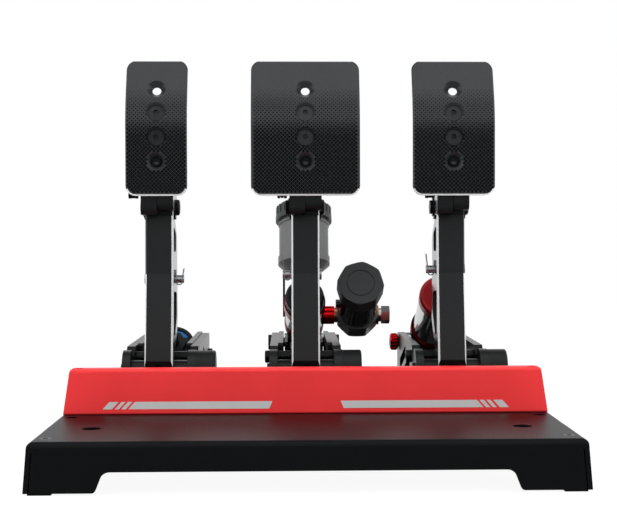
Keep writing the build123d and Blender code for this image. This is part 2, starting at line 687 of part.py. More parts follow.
def build_frame_rails():
    rails = []
    for name, x, _, _ in PEDALS[:2]:
        pin_z = PIVOT_HEIGHTS[name]
        block_low = min(pin_z, RAIL_BOTTOM) - RAIL_BLOCK_DROP
        block_front = FRAME_END - RAIL_BLOCK_LENGTH
        front = PIVOT_Y + RAIL_FRONT_SHARE * FRAME_RUN
        shape = outline([(front, RAIL_BOTTOM), (block_front, RAIL_BOTTOM), (block_front, block_low),
                         (FRAME_END, block_low), (FRAME_END, RAIL_TOP), (front, RAIL_TOP)],
                        [0, 0, 0, 0, 0, FRAME_CORNER_ROUND / 2])
        rail = across(shape, PLATE_IN - RAIL_WIDTH, PLATE_IN)
        rail -= bar(REAR_Y, pin_z, STUB_PIN_R + FIT_GAP, PLATE_IN - RAIL_WIDTH - CUT_OVERRUN,
                    PLATE_IN + CUT_OVERRUN)
        rails.append(Pos(x, 0, 0) * rail)
        rails.append(Pos(x, 0, 0) * mirrored(rail))
    return group(rails)


def build_pivot_spacers():
    tubes = []
    for _, x, _, _ in PEDALS:
        tube = bar(PIVOT_Y, PIVOT_HEIGHT, SPACER_R, ARM_HALF + SEAT_GAP, PLATE_IN)
        tube -= bar(PIVOT_Y, PIVOT_HEIGHT, SHAFT_R + 2 * FIT_GAP, ARM_HALF, PLATE_IN + CUT_OVERRUN)
        tubes.append(Pos(x, 0, 0) * tube)
        tubes.append(Pos(x, 0, 0) * mirrored(tube))
    return group(tubes)


def build_sensors():
    sensors = []
    for _, x, _, _ in PEDALS:
        body = bar(PIVOT_Y, PIVOT_HEIGHT, SENSOR_R, PLATE_OUT, PLATE_OUT + SENSOR_LENGTH)
        body = chamfer(body.edges().group_by(Axis.X)[-1], SENSOR_BEVEL)
        gland = Plane.XZ.offset(-PIVOT_Y) * (Pos(PLATE_OUT + SENSOR_LENGTH / 2, PIVOT_HEIGHT)
                                             * Circle(GLAND_R))
        body += extrude(gland, amount=-(SENSOR_R + GLAND_LENGTH))
        body -= bar(PIVOT_Y, PIVOT_HEIGHT, SHAFT_R + 2 * FIT_GAP, PLATE_OUT - CUT_OVERRUN,
                    PLATE_OUT + SENSOR_BORE_DEPTH)
        sensors.append(Pos(x, 0, 0) * body)
    return group(sensors)


def arm_point(share):
    """Arm outline point from shares of its depth and height, measured from the pivot."""
    return (PIVOT_Y - ARM_TOP_SET + share[0] * ARM_DEPTH, PIVOT_HEIGHT + share[1] * ARM_HEIGHT)


def arm_outline():
    top = ARM_TOP
    front = PIVOT_Y - ARM_TOP_SET
    toe_y = PIVOT_Y - math.sqrt(HUB_R ** 2 - ARM_TOE_RISE ** 2)
    toe = (toe_y, PIVOT_HEIGHT + ARM_TOE_RISE)
    chin = (toe_y + ARM_CHIN_RUN, PIVOT_HEIGHT + ARM_TOE_RISE - ARM_CHIN_DROP)
    rear = [arm_point(share) for share in ARM_REAR_SHARES]
    body = outline([toe, (PIVOT_Y - ARM_KNEE_SET, PIVOT_HEIGHT + ARM_KNEE_SHARE * ARM_HEIGHT), (front, top),
                    (front + ARM_TOP_RUN, top), (front + ARM_DEPTH, top - ARM_TOP_DROP)] + rear
                   + [(PIVOT_Y, PIVOT_HEIGHT)],
                   [0, 0, 0, 0, ARM_REAR_ROUND, ARM_REAR_ROUND, ARM_REAR_ROUND, ARM_REAR_ROUND,
                    0, 0])
    hub = Pos(PIVOT_Y, PIVOT_HEIGHT) * Circle(HUB_R)
    # The hub is cut flat from the toe down to the chin
    dy, dz = chin[0] - toe[0], chin[1] - toe[1]
    far = (toe[0] - dy, toe[1] - dz)
    low = (chin[0] + dy, chin[1] + dz)
    flat = make_face(Polyline(toe, low, (low[0] - 2 * HUB_R, low[1]), (far[0] - 2 * HUB_R, toe[1]),
                              close=True))
    return body + (hub - flat)


def build_arm(name, x):
    arm = across(arm_outline(), -ARM_HALF, ARM_HALF)
    # Bevels along the front edges, steeper than they are wide
    for side in (-1, 1):
        flank = arm.faces().filter_by(Axis.X).sort_by(Axis.X)[0 if side < 0 else -1]
        limit = PIVOT_Y - ARM_KNEE_SET + ARM_TOP_SET
        edges = [e for e in flank.edges()
                 if e.geom_type == GeomType.LINE and (e @ 0).Y < limit and (e @ 1).Y < limit
                 and min((e @ 0).Z, (e @ 1).Z) > PIVOT_HEIGHT]
        arm = chamfer(edges, length=ARM_BEVEL_DEPTH, length2=ARM_BEVEL_WIDTH, reference=flank)
    # Low step across the front under the bracket
    step_y = PIVOT_Y - ARM_TOP_SET
    step = make_face(Polyline((step_y - CUT_OVERRUN, ARM_TOP - ARM_LIP_HEIGHT),
                              (step_y + ARM_LIP_DEPTH, ARM_TOP - ARM_LIP_HEIGHT),
                              (step_y + ARM_LIP_DEPTH, ARM_TOP + CUT_OVERRUN),
                              (step_y - CUT_OVERRUN, ARM_TOP + CUT_OVERRUN), close=True))
    arm -= across(step, -ARM_WIDTH, ARM_WIDTH)
    # Tongue between the bracket ears, with recesses for the ears beside it
    tongue = across(Pos(BOLT_Y, BOLT_Z) * Circle(TONGUE_R), -TONGUE_WIDTH / 2, TONGUE_WIDTH / 2)
    for side in (-1, 1):
        x0 = side * TONGUE_WIDTH / 2
        x1 = side * (ARM_HALF + CUT_OVERRUN)
        arm -= bar(BOLT_Y, BOLT_Z, EAR_R + SEAT_GAP, min(x0, x1), max(x0, x1))
    arm += tongue
    # Windows
    upper = outline([arm_point(share) for share in UPPER_WINDOW_SHARES], WINDOW_ROUND)
    lower = outline([arm_point(share) for share in LOWER_WINDOW_SHARES], WINDOW_ROUND)
    for window in (upper, lower):
        arm -= across(window, -ARM_WIDTH, ARM_WIDTH)
    # Pocket for the rod's eye, open to the rear
    pocket_half = EYE_WIDTH / 2 + SEAT_GAP
    clevis_z = CLEVIS_Z[name]
    pocket = make_face(Polyline((CLEVIS_Y, clevis_z + ROD_POCKET_RISE),
                                (CLEVIS_Y + ROD_POCKET_REACH, clevis_z + ROD_POCKET_RISE),
                                (CLEVIS_Y + ROD_POCKET_REACH, clevis_z - ROD_POCKET_DROP),
                                (CLEVIS_Y - EYE_R, clevis_z - EYE_R), close=True))
    pocket += Pos(CLEVIS_Y, clevis_z) * Circle(EYE_R + EYE_POCKET_GAP)
    arm -= across(pocket, -pocket_half, pocket_half)
    # Bores
    arm -= bar(PIVOT_Y, PIVOT_HEIGHT, SHAFT_R + FIT_GAP, -ARM_WIDTH, ARM_WIDTH)
    arm -= bar(CLEVIS_Y, clevis_z, CLEVIS_PIN_R + FIT_GAP, -ARM_WIDTH, ARM_WIDTH)
    arm -= bar(BOLT_Y, BOLT_Z, BRACKET_BOLT_R + FIT_GAP, -ARM_WIDTH, ARM_WIDTH)
    arm -= Pos(-x, 0, 0) * grub_location(x) * sleeve(GRUB_R + FIT_GAP, 0, -CUT_OVERRUN, HUB_R)
    return Pos(x, 0, 0) * arm


def grub_location(x):
    """Seat of the grub screw on the hub's front flat, its Z axis towards the shaft."""
    rise = GRUB_RISE
    drop = ARM_TOE_RISE - rise
    toe_y = PIVOT_Y - math.sqrt(HUB_R ** 2 - ARM_TOE_RISE ** 2)
    y = toe_y + ARM_CHIN_RUN * drop / ARM_CHIN_DROP
    length = math.hypot(ARM_CHIN_RUN, ARM_CHIN_DROP)
    inward = (0, ARM_CHIN_DROP / length, ARM_CHIN_RUN / length)
    return Plane(origin=(x, y, PIVOT_HEIGHT + rise), x_dir=(1, 0, 0), z_dir=inward).location


def build_shaft(x):
    shaft = bar(PIVOT_Y, PIVOT_HEIGHT, SHAFT_R, -PLATE_OUT, PLATE_OUT + SENSOR_BORE_DEPTH - SEAT_GAP)
    shaft += bar(PIVOT_Y, PIVOT_HEIGHT, SHAFT_HEAD_R, -PLATE_OUT - SHAFT_HEAD, -PLATE_OUT)
    return Pos(x, 0, 0) * shaft


def face_point(run, offset):
    """Point and lean angle on the face, run up from the start of its bend, offset behind it."""
    radius = FACE_BEND_R - offset
    full = FACE_BEND_R * math.radians(FACE_LEAN)
    angle = min(max(run / FACE_BEND_R, 0), math.radians(FACE_LEAN))
    y = FACE_Y + FACE_BEND_R - radius * math.cos(angle)
    z = FACE_BEND_START + radius * math.sin(angle) + min(run, 0)
    beyond = max(run - full, 0)
    return y + beyond * math.sin(angle), z + beyond * math.cos(angle), angle


def band(near, far, low, high):
    """(y, z) outline that follows the face between two depths behind it, from run low to high."""
    full = FACE_BEND_R * math.radians(FACE_LEAN)
    sides = []
    for offset in (near, far):
        stops = [low]
        if low < 0:
            stops.append(0)
        stops.append(min(high, full))
        if high > full:
            stops.append(high)
        path = []
        for a, b in zip(stops, stops[1:]):
            pa, pb = face_point(a, offset), face_point(b, offset)
            if a >= 0 and b <= full:
                pm = face_point((a + b) / 2, offset)
                path.append(ThreePointArc(pa[:2], pm[:2], pb[:2]))
            else:
                path.append(Line(pa[:2], pb[:2]))
        sides.append((face_point(stops[0], offset)[:2], face_point(stops[-1], offset)[:2], path))
    edges = sides[0][2] + sides[1][2]
    edges.append(Line(sides[0][0], sides[1][0]))
    edges.append(Line(sides[0][1], sides[1][1]))
    return make_face(edges)


def hole_runs():
    """Runs of the four face holes, from the lowest up."""
    return [i * FACE_HOLE_PITCH - FACE_HOLE_DROP for i in range(4)]


def into_face(x, run, offset=0):
    """Location on the face at a run, Z pointing into the plate."""
    y, z, angle = face_point(run, offset)
    return Plane(origin=(x, y, z), x_dir=(1, 0, 0),
                 z_dir=(0, math.cos(angle), -math.sin(angle))).location


def build_face(x, width):
    low = FACE_BOTTOM - FACE_BEND_START
    full = FACE_BEND_R * math.radians(FACE_LEAN)
    half = width / 2
    plate = across(band(0, FACE_THICKNESS, low, full + FACE_TOP_RUN), -half, half)
    top = face_point(full + FACE_TOP_RUN, 0)[1]
    height = top - FACE_BOTTOM
    view = Pos(0, FACE_BOTTOM + height / 2) * RectangleRounded(width, height, FACE_CORNER_R)
    plate &= extrude(Plane.XZ.offset(-FACE_Y) * view, amount=FACE_BEND_R, both=True)
    # Bevel round the front side
    front = [f for f in plate.faces() if f.normal_at(f.center()).Y < -0.8]
    shared = [e for f in front for e in f.edges()]
    rim = [e for e in shared if sum(1 for other in shared if other.is_same(e)) == 1]
    plate = chamfer(rim, FACE_BEVEL)
    cone = RECESS_R - FACE_HOLE_R
    for index, run in enumerate(hole_runs()):
        sunk = RECESS_DEPTH if index in (1, 2) else 0
        cutter = turned([(0, -CUT_OVERRUN), (RECESS_R, -CUT_OVERRUN), (RECESS_R, sunk),
                         (FACE_HOLE_R, sunk + cone), (FACE_HOLE_R, FACE_THICKNESS + CUT_OVERRUN),
                         (0, FACE_THICKNESS + CUT_OVERRUN)])
        plate -= into_face(0, run) * cutter
    return Pos(x, 0, 0) * plate


def build_face_screws(x):
    pieces = []
    back = FACE_THICKNESS + LEAF_THICKNESS
    reach = back + NUT_BAR_THICKNESS
    runs = hole_runs()[1:3]
    bar_face = band(back, reach, runs[0] - NUT_BAR_MARGIN, runs[1] + NUT_BAR_MARGIN / 2)
    nut_bar = across(bar_face, -NUT_BAR_HALF_WIDTH, NUT_BAR_HALF_WIDTH)
    top = RECESS_DEPTH + FIT_GAP
    for run in runs:
        screw = turned([(0, top), (FACE_SCREW_HEAD_R, top),
                        (FACE_SCREW_R, top + FACE_SCREW_HEAD_R - FACE_SCREW_R),
                        (FACE_SCREW_R, reach - FIT_GAP), (0, reach - FIT_GAP)])
        screw -= prism_z(FACE_SOCKET_R, 6, 0, top + FACE_SOCKET_DEPTH)
        pieces.append(into_face(0, run) * screw)
        nut_bar -= into_face(0, run) * sleeve(FACE_SCREW_R + FIT_GAP, 0, 0, reach + CUT_OVERRUN)
    pieces.append(nut_bar)
    return Pos(x, 0, 0) * group(pieces)


def build_bracket(x):
    """Two halves: a leaf behind the face, a round knuckle and an ear beside the tongue."""
    lip = ARM_TOP + SEAT_GAP
    knuckle_top = lip + KNUCKLE_TOP_RISE
    leaf = band(FACE_THICKNESS, FACE_THICKNESS + LEAF_THICKNESS, knuckle_top - KNUCKLE_ROUND
                - FACE_BEND_START, LEAF_TOP_RUN)
    front = FACE_Y + FACE_THICKNESS
    rear = BOLT_Y - TONGUE_R - KNUCKLE_REAR_GAP
    knuckle = outline([(front, knuckle_top), (front, lip), (rear, lip), (rear, knuckle_top)],
                      [0, KNUCKLE_ROUND, 0, KNUCKLE_ROUND])
    # The left half hangs lower in front of the arm
    inset = PIVOT_Y - ARM_TOP_SET - SEAT_GAP
    hang = outline([(front, knuckle_top), (front, lip - KNUCKLE_HANG), (inset, lip - KNUCKLE_HANG),
                    (inset, lip), (rear, lip), (rear, knuckle_top)],
                   [0, KNUCKLE_ROUND, 0, 0, 0, KNUCKLE_ROUND])
    ear = outline([(rear - KNUCKLE_ROUND, BOLT_Z + EAR_R), (rear - KNUCKLE_ROUND, lip),
                   (BOLT_Y, lip), (BOLT_Y, BOLT_Z + EAR_R)], 0)
    ear += Pos(BOLT_Y, BOLT_Z) * Circle(EAR_R)
    inner = TONGUE_WIDTH / 2 + FIT_GAP * 2
    depths = [FACE_THICKNESS + LEAF_THICKNESS * LEAF_HOLE_SHARE]
    depths += [FACE_THICKNESS + LEAF_THICKNESS + CUT_OVERRUN] * 2
    halves = []
    for block in (knuckle, hang):
        half = across(leaf + block, BRACKET_SEAM / 2, BRACKET_HALF) + across(ear, inner, BRACKET_HALF)
        half -= bar(BOLT_Y, BOLT_Z, BRACKET_BOLT_R + FIT_GAP, -CUT_OVERRUN, BRACKET_WIDTH)
        for run, depth in zip(hole_runs(), depths):
            half -= into_face(0, run) * sleeve(FACE_SCREW_R + FIT_GAP, 0, 0, depth)
        halves.append(half)
    return Pos(x, 0, 0) * group([halves[0], mirrored(halves[1])])


def build_arm_pins(name, x, clip_side):
    """Bracket bolt with washer and nut, clevis pin with its spring clip, grub screw."""
    bolt = bar(BOLT_Y, BOLT_Z, BRACKET_BOLT_R, -BRACKET_HALF - BRACKET_WASHER - BRACKET_NUT, BRACKET_HALF)
    head = bar(BOLT_Y, BOLT_Z, BRACKET_HEAD_R, BRACKET_HALF, BRACKET_HALF + BRACKET_HEAD)
    head = fillet(head.edges().group_by(Axis.X)[-1], BRACKET_HEAD * 0.6)
    bolt += head
    bolt -= across(Pos(BOLT_Y, BOLT_Z) * RegularPolygon(BRACKET_SOCKET_R, 6),
                   BRACKET_HALF + BRACKET_HEAD / 3, BRACKET_WIDTH)
    hole = bar(BOLT_Y, BOLT_Z, BRACKET_BOLT_R + FIT_GAP, -BRACKET_WIDTH, 0)
    washer = bar(BOLT_Y, BOLT_Z, BRACKET_WASHER_R, -BRACKET_HALF - BRACKET_WASHER, -BRACKET_HALF) - hole
    nut = across(Pos(BOLT_Y, BOLT_Z) * RegularPolygon(BRACKET_NUT_R, 6),
                 -BRACKET_HALF - BRACKET_WASHER - BRACKET_NUT, -BRACKET_HALF - BRACKET_WASHER) - hole
    # Clevis pin, head on one side and spring clip on the other
    reach = ARM_HALF + SEAT_GAP
    tail = reach + CLIP_SPREAD + CLEVIS_HEAD / 2
    height = CLEVIS_Z[name]
    pin = bar(CLEVIS_Y, height, CLEVIS_PIN_R, -ARM_HALF, tail)
    pin += bar(CLEVIS_Y, height, CLEVIS_HEAD_R, -ARM_HALF - CLEVIS_HEAD, -ARM_HALF)
    leg = CLIP_SHEET
    top = height + CLIP_TALL[name]
    low = height - CLIP_DROP
    far = reach + CLIP_SPREAD
    clip = outline([(reach, height + CLIP_SHORT), (reach, low), (far, low), (far, height),
                    (far + CLIP_LEAN, top), (far + CLIP_LEAN - leg, top), (far - leg, height),
                    (far - leg, low + leg), (reach + leg, low + leg), (reach + leg, height + CLIP_SHORT)],
                   [0, CLIP_SPREAD / 2 - FIT_GAP, CLIP_SPREAD / 2 - FIT_GAP, 0, 0, 0, 0,
                    CLIP_SPREAD / 2 - leg - FIT_GAP, CLIP_SPREAD / 2 - leg - FIT_GAP, 0])
    spring = extrude(Plane.XZ.offset(-CLEVIS_Y) * clip, amount=CLIP_DEPTH / 2, both=True)
    spring -= bar(CLEVIS_Y, height, CLEVIS_PIN_R + FIT_GAP, 0, BRACKET_WIDTH)
    if clip_side < 0:
        pin = mirrored(pin)
        spring = mirrored(spring)
    grub = sleeve(GRUB_R, 0, SEAT_GAP, GRUB_LENGTH)
    grub -= prism_z(GRUB_R * HEX_SHARE, 6, 0, GRUB_R)
    grub = grub_location(0) * grub
    return Pos(x, 0, 0) * group([bolt, washer, nut, pin, spring, grub])


class Unit:
    """Axis of one unit: from its rear pivot, Z runs forward and up to the clevis pin."""

    def __init__(self, name, x):
        drop = CLEVIS_Z[name] - PIVOT_HEIGHTS[name]
        run = REAR_Y - CLEVIS_Y
        self.length = math.hypot(drop, run)
        self.up = (0, -run / self.length, drop / self.length)
        self.plane = Plane(origin=(x, REAR_Y, PIVOT_HEIGHTS[name]), x_dir=(1, 0, 0), z_dir=self.up)

    def place(self, shape, shift=0):
        return self.plane.location * (Pos(shift, 0, 0) * shape)


def cross_bar(radius, x0, x1, z=0):
    """Round bar across a unit, in the unit's own axes."""
    return Pos(x0, 0, z) * (Rot(0, 90, 0) * extrude(Circle(radius), amount=x1 - x0))


def build_rod(unit, rod_r, low):
    """Rod along the unit's axis with an eye at the clevis, in the unit's own axes."""
    rod = cross_bar(EYE_R, -EYE_WIDTH / 2, EYE_WIDTH / 2, unit.length)
    rod += sleeve(rod_r, 0, low, unit.length - CLEVIS_PIN_R)
    rod += sleeve(EYE_WIDTH / 2 - FIT_GAP, 0, unit.length - 2 * EYE_R, unit.length - CLEVIS_PIN_R)
    return rod - cross_bar(CLEVIS_PIN_R + CLEVIS_CLEARANCE, -EYE_WIDTH, EYE_WIDTH, unit.length)


def build_piston_rod(unit, piston_r, low):
    rod = build_rod(unit, DAMPER_ROD_R, low)
    return unit.place(rod + sleeve(piston_r, 0, low, low + PISTON_LENGTH))


def build_rear_pins():
    pins = []
    for name, x, _, _ in PEDALS:
        z = PIVOT_HEIGHTS[name]
        pin = bar(REAR_Y, z, STUB_PIN_R, STUB_PIN_TIP, PLATE_OUT)
        headed = pin + bar(REAR_Y, z, STUB_HEAD_R, PLATE_OUT, PLATE_OUT + STUB_HEAD)
        plain = pin + bar(REAR_Y, z, STUB_PIN_R, PLATE_OUT, PLATE_OUT + KNOB_STANDOFF + KNOB_LENGTH * 0.7)
        pins.append(Pos(x, 0, 0) * headed)
        pins.append(Pos(x, 0, 0) * mirrored(plain if name == "throttle" else headed))
    return group(pins)


def lug(width, reach):
    """Flat block that joins the rear bosses to a body that starts at reach."""
    return extrude(Rectangle(width, 2 * BOSS_R), amount=reach)


def boss_bores(body, half):
    """Bosses' bores for the stub pins."""
    tip = STUB_PIN_TIP - SEAT_GAP
    for x0, x1 in ((tip, half + CUT_OVERRUN), (-half - CUT_OVERRUN, -tip)):
        body -= cross_bar(STUB_PIN_R + FIT_GAP, x0, x1)
    return body


def build_clutch_unit(x):
    unit = Unit("clutch", x)
    end = CLUTCH_RIM - CLUTCH_HOUSING_LENGTH
    seat = CLUTCH_RIM - RING_SEAT_DEPTH
    housing = sleeve(CLUTCH_HOUSING_R, 0, end, CLUTCH_RIM, COLLAR_BEVEL)
    housing += cross_bar(BOSS_R, -BOSS_HALF_WIDTH, BOSS_HALF_WIDTH)
    housing -= sleeve(RING_SEAT_R, 0, seat, CLUTCH_RIM + CUT_OVERRUN)
    housing -= sleeve(CLUTCH_CHAMBER_R, 0, end + CLUTCH_END_WALL, seat + CUT_OVERRUN)
    housing -= sleeve(CLUTCH_ROD_R + FIT_GAP, 0, end - BOSS_R, CLUTCH_RIM)
    housing = boss_bores(housing, BOSS_HALF_WIDTH)
    ring = sleeve(RING_SEAT_R - PISTON_GAP, RING_HOLE_R, seat, CLUTCH_RIM - RING_RECESS, COLLAR_BEVEL)
    nodes["clutch_housing"] = unit.place(housing)
    nodes["clutch_elastomer"] = unit.place(ring)
    # The rod runs out through the end wall and carries a stop nut behind it
    nut_top = min(end, -BOSS_R) - SEAT_GAP
    nut = prism_z(CLUTCH_NUT_R, 6, nut_top - CLUTCH_NUT, nut_top)
    nut -= sleeve(CLUTCH_ROD_R + FIT_GAP, 0, nut_top - 2 * CLUTCH_NUT, nut_top + CUT_OVERRUN)
    rod = build_rod(unit, CLUTCH_ROD_R, nut_top - CLUTCH_NUT - ROD_TIP)
    nodes["clutch_rod"] = group([unit.place(rod), unit.place(nut)])


def build_throttle_unit(x):
    unit = Unit("throttle", x)
    cap_front = unit.length * THROTTLE_CAP_SHARE
    cap_rear = cap_front - THROTTLE_CAP_LENGTH
    cap = sleeve(THROTTLE_CAP_R, DAMPER_ROD_R + FIT_GAP, cap_rear, cap_front)
    rim = cap.edges().filter_by(GeomType.CIRCLE).group_by(SortBy.RADIUS)[-1].sort_by(Axis.Z)[-1]
    cap = fillet(rim, THROTTLE_CAP_ROUND)
    tube = sleeve(THROTTLE_TUBE_R, 0, THROTTLE_TUBE_END, cap_rear)
    tube += sleeve(THROTTLE_TAIL_R, 0, THROTTLE_TAIL_END, THROTTLE_TUBE_END, COLLAR_BEVEL)
    tube += cross_bar(BOSS_R, -THROTTLE_BOSS_HALF_WIDTH, THROTTLE_BOSS_HALF_WIDTH)
    tube += lug(THROTTLE_TAIL_R, THROTTLE_TAIL_END + CUT_OVERRUN)
    tube -= sleeve(THROTTLE_CHAMBER_R, 0, THROTTLE_TUBE_END + THROTTLE_CHAMBER_WALL, cap_rear + CUT_OVERRUN)
    tube = boss_bores(tube, THROTTLE_BOSS_HALF_WIDTH)
    collar = sleeve(THROTTLE_COLLAR_R, THROTTLE_TUBE_R + FIT_GAP, THROTTLE_TUBE_END,
                    THROTTLE_TUBE_END + THROTTLE_COLLAR_LENGTH, COLLAR_BEVEL)
    nodes["throttle_cap"] = unit.place(cap)
    nodes["throttle_tube"] = unit.place(tube)
    nodes["throttle_collar"] = unit.place(collar)
    nodes["throttle_rod"] = build_piston_rod(unit, THROTTLE_CHAMBER_R - PISTON_GAP,
                                             cap_rear - PISTON_LENGTH - SEAT_GAP)
    knob = sleeve(KNOB_R, STUB_PIN_R + FIT_GAP, 0, KNOB_LENGTH, KNOB_BEVEL)
    for i in range(KNOB_FLUTES):
        place = PolarLocations(KNOB_R, 1, start_angle=i * 360 / KNOB_FLUTES)
        knob -= place * extrude(Circle(KNOB_FLUTE_R), amount=KNOB_LENGTH)
    seat = x - PLATE_OUT - KNOB_STANDOFF
    nodes["throttle_knob"] = Pos(seat, REAR_Y, REAR_PIVOT_HEIGHT) * Rot(0, -90, 0) * knob


def octagon(radius, z0, z1):
    body = prism_z(radius, 8, z0, z1)
    return body & sleeve(radius - OCTAGON_BEVEL / 4, 0, z0, z1, OCTAGON_BEVEL)


class Reservoir:
    """Axis of the reservoir, which meets the brake cylinder's axis a drop below its foot."""

    def __init__(self, unit):
        tilt = math.radians(RESERVOIR_TILT)
        along = RESERVOIR_PORT_SHARE * unit.length
        y = REAR_Y + along * unit.up[1] + RESERVOIR_DROP * math.sin(tilt)
        z = REAR_PIVOT_HEIGHT + along * unit.up[2] + RESERVOIR_DROP * math.cos(tilt)
        self.plane = Plane(origin=(0, y, z), x_dir=(1, 0, 0), z_dir=(0, math.sin(tilt), math.cos(tilt)))
        crossing = abs(unit.up[1] * math.sin(tilt) + unit.up[2] * math.cos(tilt))
        self.surface = RESERVOIR_DROP - BRAKE_TUBE_R / math.sqrt(1 - crossing ** 2)
        self.port_top = PORT_LENGTH - self.surface
        self.nipple = -self.port_top * NIPPLE_SHARE

    def place(self, shape):
        return self.plane.location * shape


def build_brake_unit():
    unit = Unit("brake", 0)
    tank = Reservoir(unit)
    cap_front = unit.length * BRAKE_CAP_SHARE
    cap_rear = cap_front - BRAKE_CAP_LENGTH
    tube_end = unit.length * BRAKE_TUBE_SHARE
    cap = sleeve(BRAKE_CAP_R, DAMPER_ROD_R + FIT_GAP, cap_rear, cap_front, BRAKE_CAP_BEVEL)
    nodes["brake_cap"] = unit.place(cap)
    # Cylinder, its tail with the rear bosses and its two ports
    tube = sleeve(BRAKE_TUBE_R, 0, tube_end, cap_rear)
    tube += sleeve(BRAKE_TAIL_R, 0, BRAKE_TAIL_END, tube_end, COLLAR_BEVEL)
    tube += cross_bar(BOSS_R, -BOSS_HALF_WIDTH, BOSS_HALF_WIDTH)
    tube += lug(BRAKE_TAIL_R, BRAKE_TAIL_END + CUT_OVERRUN)
    tube = boss_bores(tube, BOSS_HALF_WIDTH)
    tube = unit.place(tube)
    tip = tank.port_top + tank.nipple
    tube += tank.place(sleeve(PORT_R, 0, -RESERVOIR_DROP, tank.port_top))
    tube += tank.place(sleeve(NIPPLE_R, 0, -RESERVOIR_DROP, tip))
    tube -= tank.place(sleeve(NIPPLE_BORE_R, 0, -RESERVOIR_DROP, tip + CUT_OVERRUN))
    tube -= unit.place(sleeve(BRAKE_BORE_R, 0, tube_end + BRAKE_BORE_WALL, cap_rear + CUT_OVERRUN))
    nodes["brake_cylinder"] = tube
    front_ring = sleeve(FRONT_COLLAR_R, BRAKE_TUBE_R + FIT_GAP,
                        cap_rear - unit.length * FRONT_COLLAR_SHARE, cap_rear, COLLAR_BEVEL)
    rear_low = unit.length * REAR_COLLAR_SHARE
    rear_ring = sleeve(REAR_COLLAR_R, BRAKE_TUBE_R + FIT_GAP, rear_low, rear_low + REAR_COLLAR_LENGTH,
                       COLLAR_BEVEL / 2)
    nodes["brake_collars"] = group([unit.place(front_ring), unit.place(rear_ring)])
    nodes["brake_rod"] = build_piston_rod(unit, BRAKE_BORE_R - PISTON_GAP,
                                          cap_rear - PISTON_LENGTH - SEAT_GAP)
    build_brake_chamber(unit)
    build_reservoir(unit, tank)


def build_brake_chamber(unit):
    port = unit.length * PORT_SHARE
    flat = OCTAGON_BASE_R * math.cos(math.pi / 8)
    end = CHAMBER_OFFSET - flat
    adapter = cross_bar(ADAPTER_R, 0, end - ADAPTER_SHOULDER, port)
    adapter += cross_bar(ADAPTER_R - ADAPTER_SHOULDER / 2, 0, end, port)
    adapter -= sleeve(BRAKE_TUBE_R + FIT_GAP, 0, 0, unit.length)
    nodes["brake_adapter"] = unit.place(adapter)
    # Base block with its flats to the ports, then the body and the cap
    body_low = port + BASE_FRONT_RUN
    base = Rot(0, 0, 360 / 16) * octagon(OCTAGON_BASE_R, port - BASE_REAR_RUN, body_low)
    nodes["brake_chamber_base"] = unit.place(base, CHAMBER_OFFSET)
    cap_low = port + CHAMBER_FRONT_RUN
    body = sleeve(CHAMBER_R, 0, body_low, cap_low)
    body += cross_bar(SIDE_PLUG_R, -CHAMBER_R - SIDE_PLUG_LENGTH, 0, body_low + SIDE_PLUG_SET)
    nodes["brake_chamber"] = unit.place(body, CHAMBER_OFFSET)
    cap_top = cap_low + OCTAGON_CAP_LENGTH
    cap = Rot(0, 0, OCTAGON_CAP_TURN) * octagon(OCTAGON_CAP_R, cap_low, cap_top)
    cap -= sleeve(GROOVE_R, GROOVE_R - GROOVE_WIDTH, cap_top - GROOVE_DEPTH, cap_top + CUT_OVERRUN)
    nodes["brake_chamber_cap"] = unit.place(cap, CHAMBER_OFFSET)
    # Bleed bolt with its washer against the right flat
    washers = cross_bar(WASHER_R, flat, flat + WASHER, port)
    bolt = cross_bar(BLEED_NECK_R, flat + WASHER, flat + WASHER + BLEED_NECK, port)
    head = Rot(0, 90, 0) * extrude(RegularPolygon(BLEED_HEAD_R, 6), amount=BLEED_HEAD)
    bolt += Pos(flat + WASHER + BLEED_NECK, 0, port) * head
    nodes["brake_bleed_bolt"] = group([unit.place(washers, CHAMBER_OFFSET),
                                       unit.place(bolt, CHAMBER_OFFSET)])


